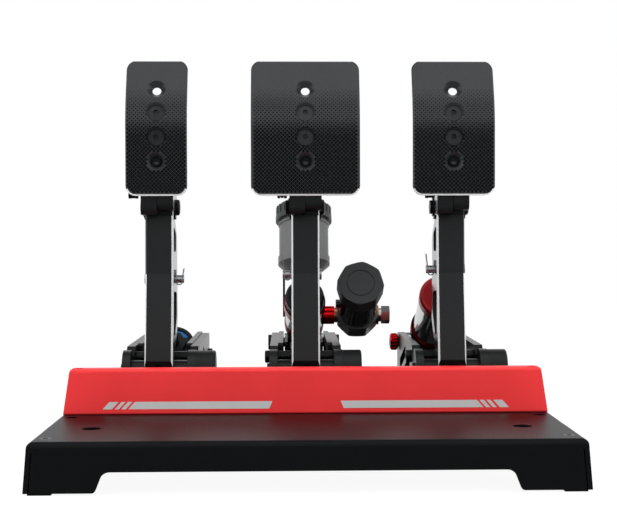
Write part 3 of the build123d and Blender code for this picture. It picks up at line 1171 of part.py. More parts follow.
def build_reservoir(unit, tank):
    # Cup with a cone foot, a bead and a neck; the inside is one turned hollow
    neck = CUP_HEIGHT - NECK_HEIGHT_CUP
    bead = CONE_HEIGHT + BEAD_HEIGHT
    cup = turned([(0, 0), (CONE_FOOT_R, 0), (BEAD_R, CONE_HEIGHT), (BEAD_R, bead), (CUP_R, bead),
                  (CUP_R, neck), (NECK_LIP_R, neck), (NECK_LIP_R, neck + NECK_HEIGHT_CUP / 2),
                  (NECK_R, neck + NECK_HEIGHT_CUP / 2), (NECK_R, CUP_HEIGHT + RESERVOIR_CAP_LIP * 2),
                  (0, CUP_HEIGHT + RESERVOIR_CAP_LIP * 2)])
    inside = CUP_R - 2 * CUP_WALL
    cup -= turned([(0, CUP_WALL), (CONE_FOOT_R - CUP_WALL, CUP_WALL), (inside, CONE_HEIGHT + CUP_WALL),
                   (inside, CUP_HEIGHT * 2), (0, CUP_HEIGHT * 2)])
    cup += sleeve(NIPPLE_R, 0, -tank.nipple, 0)
    cup -= sleeve(NIPPLE_BORE_R, 0, -tank.nipple - CUT_OVERRUN, CUP_WALL + CUT_OVERRUN)
    nodes["brake_reservoir"] = tank.place(cup)
    # Ribbed screw cap
    low = CUP_HEIGHT
    top = low + RESERVOIR_CAP_HEIGHT
    cap = turned([(0, low), (RESERVOIR_CAP_LIP_R, low), (RESERVOIR_CAP_LIP_R, low + RESERVOIR_CAP_LIP),
                  (RESERVOIR_CAP_R, low + RESERVOIR_CAP_LIP), (RESERVOIR_CAP_R, top - RESERVOIR_CAP_BEVEL),
                  (RESERVOIR_CAP_R - RESERVOIR_CAP_BEVEL, top), (0, top)])
    cap -= sleeve(NECK_R + SEAT_GAP, 0, low - CUT_OVERRUN, top - RESERVOIR_CAP_TOP)
    rib_low = low + RESERVOIR_CAP_LIP / 2
    rib_top = top - RESERVOIR_CAP_BEVEL
    rib = Pos(0, 0, rib_low) * extrude(
        Pos(RESERVOIR_CAP_R, 0) * Rectangle(2 * CAP_RIB_PROUD, 2 * CAP_RIB_HALF_WIDTH),
        amount=rib_top - rib_low)
    ribs = [PolarLocations(0, 1, start_angle=i * 360 / CAP_RIBS) * rib for i in range(CAP_RIBS)]
    for piece in ribs:
        cap += piece
    nodes["brake_reservoir_cap"] = tank.place(cap)
    # Hose between the two nipples, with a clamp at each end
    hose_top = -BRACKET_STRIP
    run = hose_top - tank.port_top
    nodes["brake_hose"] = tank.place(sleeve(HOSE_R, NIPPLE_R + FIT_GAP, tank.port_top, hose_top))
    clamps = []
    wide = run * CLAMP_SHARE
    inset = run * CLAMP_INSET_SHARE
    for z0 in (tank.port_top + inset, hose_top - inset - wide):
        clamp = sleeve(CLAMP_R, 0, z0, z0 + wide)
        ear = Pos(-CLAMP_R, CLAMP_EAR_LENGTH / 2, z0 + wide / 2)
        clamp += ear * (Rot(90, 0, 0) * extrude(Circle(wide * CLAMP_EAR_SHARE), amount=CLAMP_EAR_LENGTH))
        clamp -= sleeve(HOSE_R + FIT_GAP, 0, z0 - CUT_OVERRUN, z0 + wide + CUT_OVERRUN)
        clamps.append(tank.place(clamp))
    nodes["brake_hose_clamps"] = group(clamps)
    # Bent strip from under the cup down to the cylinder's flank
    flank = BRAKE_TUBE_R + SEAT_GAP / 2
    strip = outline([(CONE_FOOT_R, 0), (-flank - BRACKET_STRIP, 0),
                     (-flank - BRACKET_STRIP, -RESERVOIR_DROP), (-flank, -RESERVOIR_DROP),
                     (-flank, -BRACKET_STRIP), (CONE_FOOT_R, -BRACKET_STRIP)],
                    [0, BRACKET_STRIP, 0, 0, BRACKET_STRIP / 4, 0])
    strip = extrude(Plane.XZ * strip, amount=BRACKET_STRIP_WIDTH / 2, both=True)
    strip -= sleeve(NIPPLE_R + FIT_GAP, 0, -BRACKET_STRIP - CUT_OVERRUN, CUT_OVERRUN)
    nodes["reservoir_bracket"] = tank.place(strip)


def build_all():
    nodes["base_tray"] = build_tray()
    nodes["base_feet"] = build_feet()
    nodes["base_screws"] = build_base_screws()
    nodes["heel_stop"] = build_heel_stop()
    nodes["heel_stop_screws"] = build_heel_screws()
    nodes["frame_feet"] = build_frame_feet()
    nodes["frame_bolts"] = build_frame_bolts()
    build_plates()
    nodes["frame_spacers"] = build_frame_spacers()
    nodes["frame_spacer_bolts"] = build_spacer_bolts()
    nodes["frame_rails"] = build_frame_rails()
    nodes["pivot_spacers"] = build_pivot_spacers()
    nodes["pivot_sensors"] = build_sensors()
    nodes["rear_pins"] = build_rear_pins()
    for name, x, width, clip_side in PEDALS:
        nodes[name + "_arm"] = build_arm(name, x)
        nodes[name + "_shaft"] = build_shaft(x)
        nodes[name + "_bracket"] = build_bracket(x)
        nodes[name + "_face"] = build_face(x, width)
        nodes[name + "_face_screws"] = build_face_screws(x)
        nodes[name + "_arm_pins"] = build_arm_pins(name, x, clip_side)
    build_clutch_unit(-PEDAL_SPACING)
    build_brake_unit()
    build_throttle_unit(PEDAL_SPACING)


build_all()
os.makedirs("parts", exist_ok=True)
for node, shape in nodes.items():
    export_step(shape, "parts/" + node + ".step")
print(len(nodes), "nodes")
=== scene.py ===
import math

import bmesh
import bpy
from mathutils import Matrix, Vector


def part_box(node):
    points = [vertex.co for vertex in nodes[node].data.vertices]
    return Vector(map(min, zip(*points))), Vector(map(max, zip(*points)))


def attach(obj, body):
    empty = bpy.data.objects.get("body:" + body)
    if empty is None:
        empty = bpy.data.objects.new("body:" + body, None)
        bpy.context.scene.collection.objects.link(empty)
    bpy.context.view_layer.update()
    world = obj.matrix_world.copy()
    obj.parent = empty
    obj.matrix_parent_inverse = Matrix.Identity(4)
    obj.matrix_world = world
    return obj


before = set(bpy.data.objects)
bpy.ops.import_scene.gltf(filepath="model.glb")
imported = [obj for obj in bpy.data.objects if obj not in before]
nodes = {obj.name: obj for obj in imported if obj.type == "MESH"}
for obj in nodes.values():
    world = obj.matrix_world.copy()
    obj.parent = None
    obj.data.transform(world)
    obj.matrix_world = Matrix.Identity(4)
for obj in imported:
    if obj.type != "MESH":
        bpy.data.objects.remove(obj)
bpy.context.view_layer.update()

MM = 0.001

# Lengths are in metres. Pedal centres across the base
PEDAL_X = {"clutch": -0.108209, "brake": 0.0, "throttle": 0.108209}

# Face plates: vertical below, curved back above. A run is a length up the face's front from the
# place where its curve starts
FACE_Y = -0.037984
BEND_START_Z = 0.2375
BEND_R = 0.075
BEND_ANGLE = math.radians(22)
FACE_BOTTOM_RUN = -0.0485
FACE_TOP_RUN = 0.0534
FACE_CORNER_R = 0.0074
FACE_WIDTHS = {"clutch": 0.0446, "brake": 0.0794, "throttle": 0.0601}
HOLE_PITCH = 0.0179
LOWEST_HOLE_RUN = -0.0236
HOLE_RUNS = [LOWEST_HOLE_RUN + i * HOLE_PITCH for i in range(4)]
SCREW_RUNS = HOLE_RUNS[1:3]

# Grip pattern milled into the faces: flat-topped diamonds, which fade out up the curve between the
# two runs of GRIP_FADE and are left out below GRIP_SMALLEST of their size
GRIP_PITCH = 0.00294
GRIP_BASE = 0.00122
GRIP_TOP = 0.00110
GRIP_HEIGHT = 0.00012
GRIP_SINK = GRIP_HEIGHT / 10
GRIP_MARGIN = 0.0016
GRIP_HOLE_R = 0.0070
GRIP_FADE = (-0.006, 0.042)
GRIP_SMALLEST = 0.25

# Plug of the lowest hole: (radius, height in front of the face) from its rear to its front
PLUG_PROFILE = (
    (0, -0.0046), (0.00305, -0.0046), (0.00305, -0.0030), (0.0037, -0.0026), (0.0037, -0.0019),
    (0.0033, -0.0015), (0.0027, -0.0015), (0.0023, -0.0019), (0, -0.0022))

# Painted shadow in the recess round a face screw, drawn as a thin dark ring in front of the face:
# its rims, how far the inner one sits low, and its thickness
RECESS_SHADE_OUTER_R = 0.0073
RECESS_SHADE_INNER_R = 0.0060
RECESS_SHADE_DROP = 0.0008
RECESS_SHADE_PROUD = 0.00004
RECESS_SHADE_THICK = 0.0002

# Rubber pad behind a face: (place, size) of its three ribs and their web, from the pedal's middle,
# the face's front and the floor
PAD_BLOCKS = (
    ((-0.0195, 0.0064, 0.1901), (0.0021, 0.0040, 0.0060)),
    ((-0.0171, 0.0064, 0.1901), (0.0021, 0.0040, 0.0055)),
    ((-0.0147, 0.0064, 0.1901), (0.0021, 0.0040, 0.0060)),
    ((-0.0171, 0.0061, 0.1906), (0.0072, 0.0034, 0.0046)),
)
PAD_EDGE_R = 0.0003

# Nut and washer in front of the clutch's ring: the rod's bore, the washer with its flat top's
# height over the rod, the nut, and their place in front of the ring's middle
NUT_BORE_R = 0.00425
WASHER_R = 0.0133
WASHER_EDGE_R = 0.0129
WASHER_EDGE = 0.0010
WASHER_THICK = 0.0014
WASHER_FLAT = 0.0063
NUT_CORNER_R = 0.0100
NUT_THICK = 0.0046
NUT_SEAT = 0.0062
# Direction of the clutch's rod, back and down into its housing
ROD_ALONG = Vector((0, 0.893458, -0.449148))

# Heel stop's front: bottom edge, lean and the printed stripes
HEEL_Y = -0.06061
HEEL_Z = 0.033
HEEL_LEAN = math.tan(math.radians(8))
STRIPE_BOTTOM = 0.0368
STRIPE_TOP = 0.0420
PRINT_PROUD = 0.00006
# How far an end leans to the middle over a mark's height: the slashes, and the bar's inner end
STRIPE_SLANT = 0.0047
BAR_END_SLANT = 0.0021
# (outer end, inner end) of each mark at its lower edge, from the middle of the base
STRIPE_MARKS = ((0.1449, 0.1384), (0.1363, 0.1334), (0.1317, 0.1285))
BAR_MARK = (0.1268, 0.0265)

# Bare cut edges, painted flat near-white, which is partly their own bright metal and partly a
# painted highlight. A lean is the share of a surface's normal along one direction: sideways for
# the arms' bevels and the flat sides, forward for the faces' walls and their lower bevel, and up
# for the underside of that bevel
ARM_BEVEL_LEAN = (0.87, 0.975)
SIDE_LEAN = 0.985
WALL_LEAN = (-0.2, 0.2)
LOWER_BEVEL_LEAN = (0.3, 0.86)
UNDERSIDE_LEAN = -0.25
# Below this height a face has its lower edge, and nearer its middle than this only its holes
FACE_LOWER_EDGE_Z = 0.1965
FACE_HOLE_REACH = 0.009
# (direction along X, lowest height, highest height) of each arm's bright bevels: up to its top,
# but on the outer side of the clutch and the throttle only up to its knee. The bevels are bare all
# the way up on both sides, so the outer ones left black above the knee are painted shade
ARM_TOP, ARM_KNEE = 0.178, 0.1316
ARM_BEVELS_AS_LIT = {
    "clutch": ((1, 0.0, ARM_TOP), (-1, 0.0, ARM_KNEE)),
    "brake": ((1, 0.0, ARM_TOP), (-1, 0.0, ARM_TOP)),
    "throttle": ((-1, 0.0, ARM_TOP), (1, 0.0, ARM_KNEE)),
}
# The clevis pins with their clips lie between these heights
CLEVIS_LOW_Z, CLEVIS_HIGH_Z = 0.1, 0.155
# Copper washers at the brake chamber: the adapter's last stretch and the bleed bolt's first
ADAPTER_WASHER_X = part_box("brake_adapter")[1][0] - 0.0024
BOLT_WASHER_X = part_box("brake_bleed_bolt")[0][0] + 0.00128

# A finish's shade changes slowly over this size in millimetres, and most values of a noise lie
# between the two below it
MOTTLE_SIZE = 25
NOISE_LOW, NOISE_HIGH = 0.3, 0.7


def linear(hex_code):
    """sRGB hex colour as the linear values that Blender works in."""
    values = [int(hex_code[i:i + 2], 16) / 255 for i in (1, 3, 5)]
    return tuple(v / 12.92 if v <= 0.04045 else ((v + 0.055) / 1.055) ** 2.4
                 for v in values) + (1.0,)


def add(tree, kind, inputs=(), **settings):
    """Adds a node, sets its options, then links or sets each (socket, value). Where a value is a
    node, its first output is linked."""
    node = tree.nodes.new(kind)
    for name, value in settings.items():
        setattr(node, name, value)
    for socket, value in inputs:
        if isinstance(value, bpy.types.Node):
            value = value.outputs[0]
        if isinstance(value, bpy.types.NodeSocket):
            tree.links.new(value, node.inputs[socket])
        else:
            node.inputs[socket].default_value = value
    return node


def new_tree(name):
    material = bpy.data.materials.new(name)
    material.use_nodes = True
    material.node_tree.nodes.clear()
    return material, material.node_tree


def surface(name, colour, rough, metal=0.0, level=0.5, grain=0.8, bump=0.0, mottle=0.0,
            spread=0.04, stretch=(1, 1, 1), cuts=()):
    """A finish whose grain is a real size in millimetres: it varies the roughness and the shade a
    little and lifts a fine bump. Each of cuts, (mask, colour, roughness, metallic), is another
    finish on the same piece, such as bare metal on a bevel."""
    material, tree = new_tree(name)
    place = add(tree, "ShaderNodeTexCoord")
    mapped = add(tree, "ShaderNodeMapping", [
        ("Vector", place.outputs["Object"]), ("Scale", stretch)])
    noise = add(tree, "ShaderNodeTexNoise", [
        ("Vector", mapped), ("Scale", 1 / (grain * MM)), ("Detail", 3.0)])
    broad = add(tree, "ShaderNodeTexNoise", [
        ("Vector", place.outputs["Object"]), ("Scale", 1 / (MOTTLE_SIZE * MM)), ("Detail", 2.0)])
    roughness = add(tree, "ShaderNodeMapRange", [
        ("Value", noise.outputs["Fac"]), ("From Min", NOISE_LOW), ("From Max", NOISE_HIGH),
        ("To Min", rough - spread), ("To Max", rough + spread)])
    shade = add(tree, "ShaderNodeMapRange", [
        ("Value", broad.outputs["Fac"]), ("From Min", NOISE_LOW), ("From Max", NOISE_HIGH),
        ("To Min", 1 - mottle), ("To Max", 1 + mottle)])
    tint = add(tree, "ShaderNodeVectorMath", [(0, linear(colour)[:3]), ("Scale", shade)],
               operation="SCALE")
    bumped = add(tree, "ShaderNodeBump", [
        ("Height", noise.outputs["Fac"]), ("Strength", 1.0), ("Distance", bump * MM)])
    shown = add(tree, "ShaderNodeBsdfPrincipled", [
        ("Base Color", tint), ("Roughness", roughness), ("Metallic", metal),
        ("Specular IOR Level", level), ("Normal", bumped)])
    for mask, cut_colour, cut_rough, cut_metal in cuts:
        bare = add(tree, "ShaderNodeBsdfPrincipled", [
            ("Base Color", linear(cut_colour)), ("Roughness", cut_rough),
            ("Metallic", cut_metal), ("Normal", bumped)])
        shown = add(tree, "ShaderNodeMixShader", [(0, mask(tree, place)), (1, shown), (2, bare)])
    add(tree, "ShaderNodeOutputMaterial", [("Surface", shown)])
    return material


def between(tree, value, low, high):
    """1 where the value lies between two limits, otherwise 0."""
    above = add(tree, "ShaderNodeMath", [(0, value), (1, low)], operation="GREATER_THAN")
    below = add(tree, "ShaderNodeMath", [(0, value), (1, high)], operation="LESS_THAN")
    return add(tree, "ShaderNodeMath", [(0, above), (1, below)], operation="MULTIPLY")


def arm_bevel_mask(sides):
    """The bevels along an arm's front edges: sides holds (direction along X, lowest height,
    highest height) of each stretch that is cut bright. A bevel is bare along its whole length, so
    a stretch left out is painted shade."""
    def mask(tree, place):
        normal = add(tree, "ShaderNodeSeparateXYZ", [(0, place.outputs["Normal"])])
        point = add(tree, "ShaderNodeSeparateXYZ", [(0, place.outputs["Object"])])
        found = 0.0
        for side, low, high in sides:
            sideways = add(tree, "ShaderNodeMath", [(0, normal.outputs["X"]), (1, side)],
                           operation="MULTIPLY")
            there = add(tree, "ShaderNodeMath", [
                (0, between(tree, sideways, *ARM_BEVEL_LEAN)),
                (1, between(tree, point.outputs["Z"], low, high))], operation="MULTIPLY")
            found = add(tree, "ShaderNodeMath", [(0, found), (1, there)], operation="MAXIMUM")
        return found
    return mask


def face_rim_mask(x):
    """The walls round a face plate and the bevel along its lower edge, which are cut bright: their
    flat near-white is partly bare metal and partly a painted highlight.
    """
    def mask(tree, place):
        normal = add(tree, "ShaderNodeSeparateXYZ", [(0, place.outputs["Normal"])])
        point = add(tree, "ShaderNodeSeparateXYZ", [(0, place.outputs["Object"])])
        forward = add(tree, "ShaderNodeMath", [(0, normal.outputs["Y"]), (1, -1.0)],
                      operation="MULTIPLY")
        aside = add(tree, "ShaderNodeMath", [(0, point.outputs["X"]), (1, x)],
                    operation="SUBTRACT")
        aside = add(tree, "ShaderNodeMath", [(0, aside)], operation="ABSOLUTE")
        outer = add(tree, "ShaderNodeMath", [(0, aside), (1, FACE_HOLE_REACH)],
                    operation="GREATER_THAN")
        low = add(tree, "ShaderNodeMath", [(0, point.outputs["Z"]), (1, FACE_LOWER_EDGE_Z)],
                  operation="LESS_THAN")
        rim = add(tree, "ShaderNodeMath", [(0, outer), (1, low)], operation="MAXIMUM")
        wall = add(tree, "ShaderNodeMath", [(0, between(tree, forward, *WALL_LEAN)), (1, rim)],
                   operation="MULTIPLY")
        under = add(tree, "ShaderNodeMath", [(0, normal.outputs["Z"]), (1, UNDERSIDE_LEAN)],
                    operation="LESS_THAN")
        under = add(tree, "ShaderNodeMath", [(0, under), (1, low)], operation="MULTIPLY")
        bevel = add(tree, "ShaderNodeMath", [
            (0, between(tree, forward, *LOWER_BEVEL_LEAN)), (1, under)], operation="MULTIPLY")
        return add(tree, "ShaderNodeMath", [(0, wall), (1, bevel)], operation="MAXIMUM")
    return mask


def side_mask(tree, place):
    """Flat sides that face along X."""
    normal = add(tree, "ShaderNodeSeparateXYZ", [(0, place.outputs["Normal"])])
    aside = add(tree, "ShaderNodeMath", [(0, normal.outputs["X"])], operation="ABSOLUTE")
    return add(tree, "ShaderNodeMath", [(0, aside), (1, SIDE_LEAN)], operation="GREATER_THAN")


def stretch_mask(axis, low, high):
    """The stretch of a piece between two places along one axis."""
    def mask(tree, place):
        point = add(tree, "ShaderNodeSeparateXYZ", [(0, place.outputs["Object"])])
        return between(tree, point.outputs[axis], low, high)
    return mask


# Colours that more than one finish shows
# Bare cut edges: flat near-white paint in place of metal, partly their own bright metal and partly
# a painted highlight
BARE_AND_HIGHLIGHT_WHITE = "#f6faf9"
COPPER = "#c98362"
# Flat sides of black parts: smoother, and a little lighter than their faces, which is a painted
# sheen
SATIN_SIDE_AND_SHEEN = "#1e2022"

# Powder coat on bent sheet steel: even satin black with a very fine orange peel
powder_black = surface("powder_coat_black", "#08090b", 0.42, level=0.14, grain=0.9, bump=0.010,
                       mottle=0.06)
# The same on laser-cut plates, whose flat sides are smoother than their edges and a little lighter
# in colour, which is a painted sheen
plate_black = surface("powder_coat_plates", "#101213", 0.34, level=0.35, grain=0.7, bump=0.008,
                      mottle=0.06, cuts=[(side_mask, "#1a1c1e", 0.32, 0.0)])
# The same in signal red: flat, bright and hardly glossy
powder_red = surface("powder_coat_red", "#ee383a", 0.44, level=0.2, grain=0.9, bump=0.008,
                     mottle=0.03)
# Black anodised milled aluminium: dark and dense, its flat sides with a clear sheen, partly from
# their smoother finish and partly painted, as a lighter tone
anodised_black = surface("anodised_black", "#141617", 0.38, level=0.3, grain=0.35, bump=0.004,
                         mottle=0.08, cuts=[(side_mask, SATIN_SIDE_AND_SHEEN, 0.14, 0.0)])
# Black anodised over a polished cylinder: near mirror, with hard highlights
chamber_black = surface("anodised_black_gloss", "#141617", 0.16, level=1.0, grain=0.4,
                        mottle=0.05)
# Black anodised over a blasted cap: matt and a little greyer
chamber_cap_black = surface("anodised_black_satin", "#2e3031", 0.48, level=0.35, grain=0.4,
                            bump=0.004, mottle=0.06)
# Black anodised over polished facets, painted mid grey: a painted reflection of the pale floor
# that they catch
chamber_base_reflection_grey = surface("anodised_black_painted_reflection", "#4b4d4e", 0.24, level=0.8, grain=0.4,
                             mottle=0.05)
# Black anodised turned spacers: a soft bright line along each tube
turned_black = surface("turned_black_aluminium", "#0f1112", 0.32, level=0.3, grain=0.4,
                       mottle=0.05)
# Black oxide on steel: cold dark grey with a dull metal shine
black_oxide = surface("black_oxide_steel", "#232527", 0.36, metal=0.8, grain=0.4, bump=0.004,
                      mottle=0.08)
# The same with plain plated clevis pins and clips, which shine light grey
pin_steel = surface("black_oxide_pins", "#232527", 0.36, metal=0.8, grain=0.4, bump=0.004,
                    mottle=0.08,
                    cuts=[(stretch_mask("Z", CLEVIS_LOW_Z, CLEVIS_HIGH_Z), "#c4c6c8", 0.28, 1.0)])
# Dark plate on ground rods: a clean metal shine with soft edges
rod_steel = surface("dark_plated_rods", "#3c3f41", 0.30, metal=1.0, grain=0.4, bump=0.004,
                    mottle=0.08)
# Phosphated screws: patchy dark grey, a little rough
screw_steel = surface("black_screws_satin", "#2b2e30", 0.34, metal=0.3, grain=0.45, bump=0.08,
                      mottle=0.45)
# Polished aluminium tube: broad white and black reflections, drawn out along it
polished = surface("polished_aluminium", "#b9bbbd", 0.14, metal=1.0, grain=0.3, mottle=0.03,
                   spread=0.02, stretch=(1, 0.1, 0.1))
# Turned bare aluminium: bright, with soft edges to its reflections
machined = surface("machined_aluminium", "#c4c5c6", 0.26, metal=1.0, grain=0.3, mottle=0.04)
# Red anodising: a clear dye over metal, so the colour is deep and its highlights are red
anodised_red = surface("anodised_red", "#d2141c", 0.16, metal=1.0, grain=0.3, bump=0.003,
                       mottle=0.05)
# The same dyed darker: the rear collar is a deep wine red
anodised_deep_red = surface("anodised_deep_red", "#5a0f14", 0.26, metal=1.0, grain=0.3,
                            mottle=0.05)
# The throttle's front cap has a matt face, which shows its dye rather than what it mirrors
anodised_matt_red = surface("anodised_matt_red", "#97131a", 0.34, metal=0.4, grain=0.5,
                            bump=0.006, mottle=0.20)
# The brake's collars are a faded maroon
anodised_maroon = surface("anodised_maroon", "#7c2428", 0.30, metal=1.0, grain=0.3, mottle=0.05)
# The adapter tube is bright red and ends in an annealed copper washer
adapter_red = surface("anodised_red_adapter", "#e0161e", 0.16, metal=1.0, grain=0.3, mottle=0.05,
                      cuts=[(stretch_mask("X", ADAPTER_WASHER_X, 1.0), COPPER, 0.30, 1.0)])
# Moulded nylon and polypropylene: soft satin, slightly uneven
moulded_black = surface("moulded_nylon_black", "#101213", 0.42, level=0.3, grain=0.5, bump=0.008,
                        mottle=0.06)
moulded_grey = surface("moulded_grey_plastic", "#747576", 0.42, level=0.4, grain=0.6, bump=0.006,
                       mottle=0.04)
cap_grey = surface("moulded_dark_grey_plastic", "#3f4142", 0.45, level=0.4, grain=0.5,
                   bump=0.008, mottle=0.05)
# Moulded rubber: matt black that hardly reflects
rubber_black = surface("rubber_black", "#0c0c0d", 0.7, level=0.3, grain=0.6, bump=0.02,
                       mottle=0.1)
# Cast polyurethane spring ring: saturated blue with a soft sheen
elastomer_blue = surface("polyurethane_blue", "#14609e", 0.38, level=0.5, grain=0.8, bump=0.006,
                         mottle=0.05)
# Zinc-plated hex with an annealed copper sealing washer under it
bleed_zinc = surface("zinc_plated_bleed_bolt", "#cfd0cd", 0.16, metal=1.0, grain=0.4, bump=0.004,
                     mottle=0.06,
                     cuts=[(stretch_mask("X", -1.0, BOLT_WASHER_X), COPPER, 0.30, 1.0)])
# Silver screen print: fine metallic flake in a flat ink
silver_print = surface("silver_print", "#c9cac9", 0.45, metal=0.1, grain=0.25, bump=0.003,
                       mottle=0.03)
# Milled diamonds of the grip: deep black, which sets them off from the paler land between them
grip_black = surface("milled_grip_black", "#020303", 0.24, level=0.25, grain=0.3, mottle=0.05,
                     spread=0.02)
# Moulded plugs, and the painted shadow in the recesses round the face screws: deep black with a
# small highlight
plug_and_shade_black = surface("moulded_plug_black", "#08090a", 0.20, level=0.5, grain=0.5, mottle=0.05)

FINISHES = {
    powder_black: ["base_tray"],
    plate_black: ["frame_rails", "frame_feet", "reservoir_bracket"]
                 + [p + "_plate_" + side for p in PEDAL_X for side in ("left", "right")],
    powder_red: ["heel_stop"],
    anodised_black: [p + "_bracket" for p in PEDAL_X] + ["brake_cap", "clutch_housing"],
    chamber_black: ["brake_chamber"],
    chamber_cap_black: ["brake_chamber_cap"],
    chamber_base_reflection_grey: ["brake_chamber_base"],
    turned_black: ["pivot_spacers", "frame_spacers"],
    black_oxide: [p + "_shaft" for p in PEDAL_X] + [
        "frame_spacer_bolts", "base_screws", "heel_stop_screws", "frame_bolts", "rear_pins"],
    pin_steel: [p + "_arm_pins" for p in PEDAL_X],
    rod_steel: ["clutch_rod", "throttle_rod", "brake_rod", "brake_hose_clamps"],
    screw_steel: [p + "_face_screws" for p in PEDAL_X],
    polished: ["throttle_tube"],
    machined: ["brake_cylinder"],
    anodised_red: ["throttle_knob"],
    anodised_deep_red: ["throttle_collar"],
    anodised_matt_red: ["throttle_cap"],
    adapter_red: ["brake_adapter"],
    anodised_maroon: ["brake_collars"],
    moulded_black: ["pivot_sensors"],
    moulded_grey: ["brake_reservoir"],
    cap_grey: ["brake_reservoir_cap"],
    rubber_black: ["base_feet", "brake_hose"],
    elastomer_blue: ["clutch_elastomer"],
    bleed_zinc: ["brake_bleed_bolt"],
}


def paint(piece, material):
    piece.data.materials.clear()
    piece.data.materials.append(material)


for material, names in FINISHES.items():
    for name in names:
        paint(nodes[name], material)
# Faces and arms are black anodised before their rims and bevels are cut, which leaves those bare.
# Their flat near-white is partly that bare metal and partly a painted highlight, and the arms'
# outer bevels left black above the knee are painted shade
for pedal, x in PEDAL_X.items():
    face_black = surface("anodised_black_" + pedal + "_face", "#272a2c", 0.26, level=0.55,
                         grain=0.35, bump=0.003, mottle=0.05,
                         cuts=[(face_rim_mask(x), BARE_AND_HIGHLIGHT_WHITE, 0.55, 0.0)])
    arm_black = surface("anodised_black_" + pedal + "_arm", "#17191b", 0.46, level=0.40,
                        grain=0.35, bump=0.004, mottle=0.08,
                        cuts=[(side_mask, SATIN_SIDE_AND_SHEEN, 0.14, 0.0),
                              (arm_bevel_mask(ARM_BEVELS_AS_LIT[pedal]), BARE_AND_HIGHLIGHT_WHITE, 0.55, 0.0)])
    paint(nodes[pedal + "_face"], face_black)
    paint(nodes[pedal + "_arm"], arm_black)


def mesh_of(bm, name):
    """Hands a finished bmesh over to a new mesh."""
    mesh = bpy.data.meshes.new(name)
    bm.to_mesh(mesh)
    bm.free()
    return mesh


def put(name, data):
    """Adds an object to the scene, at the origin."""
    thing = bpy.data.objects.new(name, data)
    bpy.context.scene.collection.objects.link(thing)
    return thing


def finish_mesh(bm, name, material, body):
    """Turns a bmesh into a piece that rides on a body."""
    bmesh.ops.recalc_face_normals(bm, faces=bm.faces)
    piece = put(name, mesh_of(bm, name))
    paint(piece, material)
    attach(piece, body)


def take_in(bm, part):
    """Moves a finished shape into the bmesh of its piece."""
    mesh = mesh_of(part, "part")
    bm.from_mesh(mesh)
    bpy.data.meshes.remove(mesh)


def new_verts(made):
    """The vertices among what an extrusion made."""
    return [v for v in made["geom"] if isinstance(v, bmesh.types.BMVert)]


def turned(bm, profile):
    """Spins (radius, height) points into a closed shell round Z."""
    verts = [bm.verts.new((r, 0, z)) for r, z in profile]
    edges = [bm.edges.new(pair) for pair in zip(verts, verts[1:])]
    bmesh.ops.spin(bm, geom=verts + edges, cent=(0, 0, 0), axis=(0, 0, 1), angle=2 * math.pi,
                   steps=32, use_merge=True)
    bmesh.ops.remove_doubles(bm, verts=bm.verts, dist=1e-6)


def on_face(x, proud, run):
    """A place across the pedal, in front of the face and up its run, on the curved plate."""
    angle = min(max(run / BEND_R, 0), BEND_ANGLE)
    past_bend = max(run - BEND_R * BEND_ANGLE, 0)
    radius = BEND_R + proud
    y = FACE_Y + BEND_R - radius * math.cos(angle) + past_bend * math.sin(angle)
    z = BEND_START_Z + radius * math.sin(angle) + min(run, 0) + past_bend * math.cos(angle)
    return Vector((x, y, z))


def grip_spots(width):
    """(place across, run, size) of the grip's diamonds: two square grids, clear of the rim and
    the holes."""
    spots = []
    half = width / 2 - GRIP_MARGIN
    low, high = FACE_BOTTOM_RUN + GRIP_MARGIN, FACE_TOP_RUN - GRIP_MARGIN
    corner = FACE_CORNER_R - GRIP_MARGIN
    low_fade, high_fade = GRIP_FADE
    step = GRIP_PITCH / 2
    rows, columns = math.ceil(max(high, -low) / step), math.ceil(half / step)
    for row in range(-rows, rows + 1):
        for column in range(-columns, columns + 1):
            x, run = column * step, row * step
            if (row + column) % 2 or abs(x) > half or not low < run < high:
                continue
            dx = max(abs(x) - (half - corner), 0)
            dz = max(run - (high - corner), (low + corner) - run, 0)
            if math.hypot(dx, dz) > corner:
                continue
            if min(math.hypot(x, run - hole) for hole in HOLE_RUNS) < GRIP_HOLE_R:
                continue
            size = min(1.0, (high_fade - run) / (high_fade - low_fade))
            if size > GRIP_SMALLEST:
                spots.append((x, run, size))
    return spots


def face_grip(pedal, x):
    """Flat-topped diamonds over the lower front of a face, bent to its curve."""
    bm = bmesh.new()
    bmesh.ops.create_circle(bm, cap_ends=True, segments=4, radius=GRIP_BASE)
    top = new_verts(bmesh.ops.extrude_face_region(bm, geom=bm.faces[:]))
    bmesh.ops.translate(bm, verts=top, vec=(0, 0, GRIP_HEIGHT))
    bmesh.ops.scale(bm, verts=top, vec=(GRIP_TOP / GRIP_BASE, GRIP_TOP / GRIP_BASE, 1))
    diamond = mesh_of(bm, "diamond")
    bm = bmesh.new()
    for across, run, size in grip_spots(FACE_WIDTHS[pedal]):
        place = Matrix.Translation((across, run, 0)) @ Matrix.Diagonal((size, size, 1, 1))
        diamond.transform(place)
        bm.from_mesh(diamond)
        diamond.transform(place.inverted())
    bpy.data.meshes.remove(diamond)
    for v in bm.verts:
        v.co = on_face(x + v.co.x, v.co.z - GRIP_SINK, v.co.y)
    finish_mesh(bm, pedal + "_face_grip", grip_black, pedal + "_pedal")


def hole_plug(pedal, x):
    """Blind plug with a raised rim and a dished middle that closes a face's lowest hole."""
    bm = bmesh.new()
    turned(bm, PLUG_PROFILE)
    bmesh.ops.rotate(bm, verts=bm.verts, cent=(0, 0, 0),
                     matrix=Matrix.Rotation(math.radians(90), 3, "X"))
    bmesh.ops.translate(bm, verts=bm.verts, vec=(x, FACE_Y, BEND_START_Z + LOWEST_HOLE_RUN))
    finish_mesh(bm, pedal + "_face_plug", plug_and_shade_black, pedal + "_pedal")


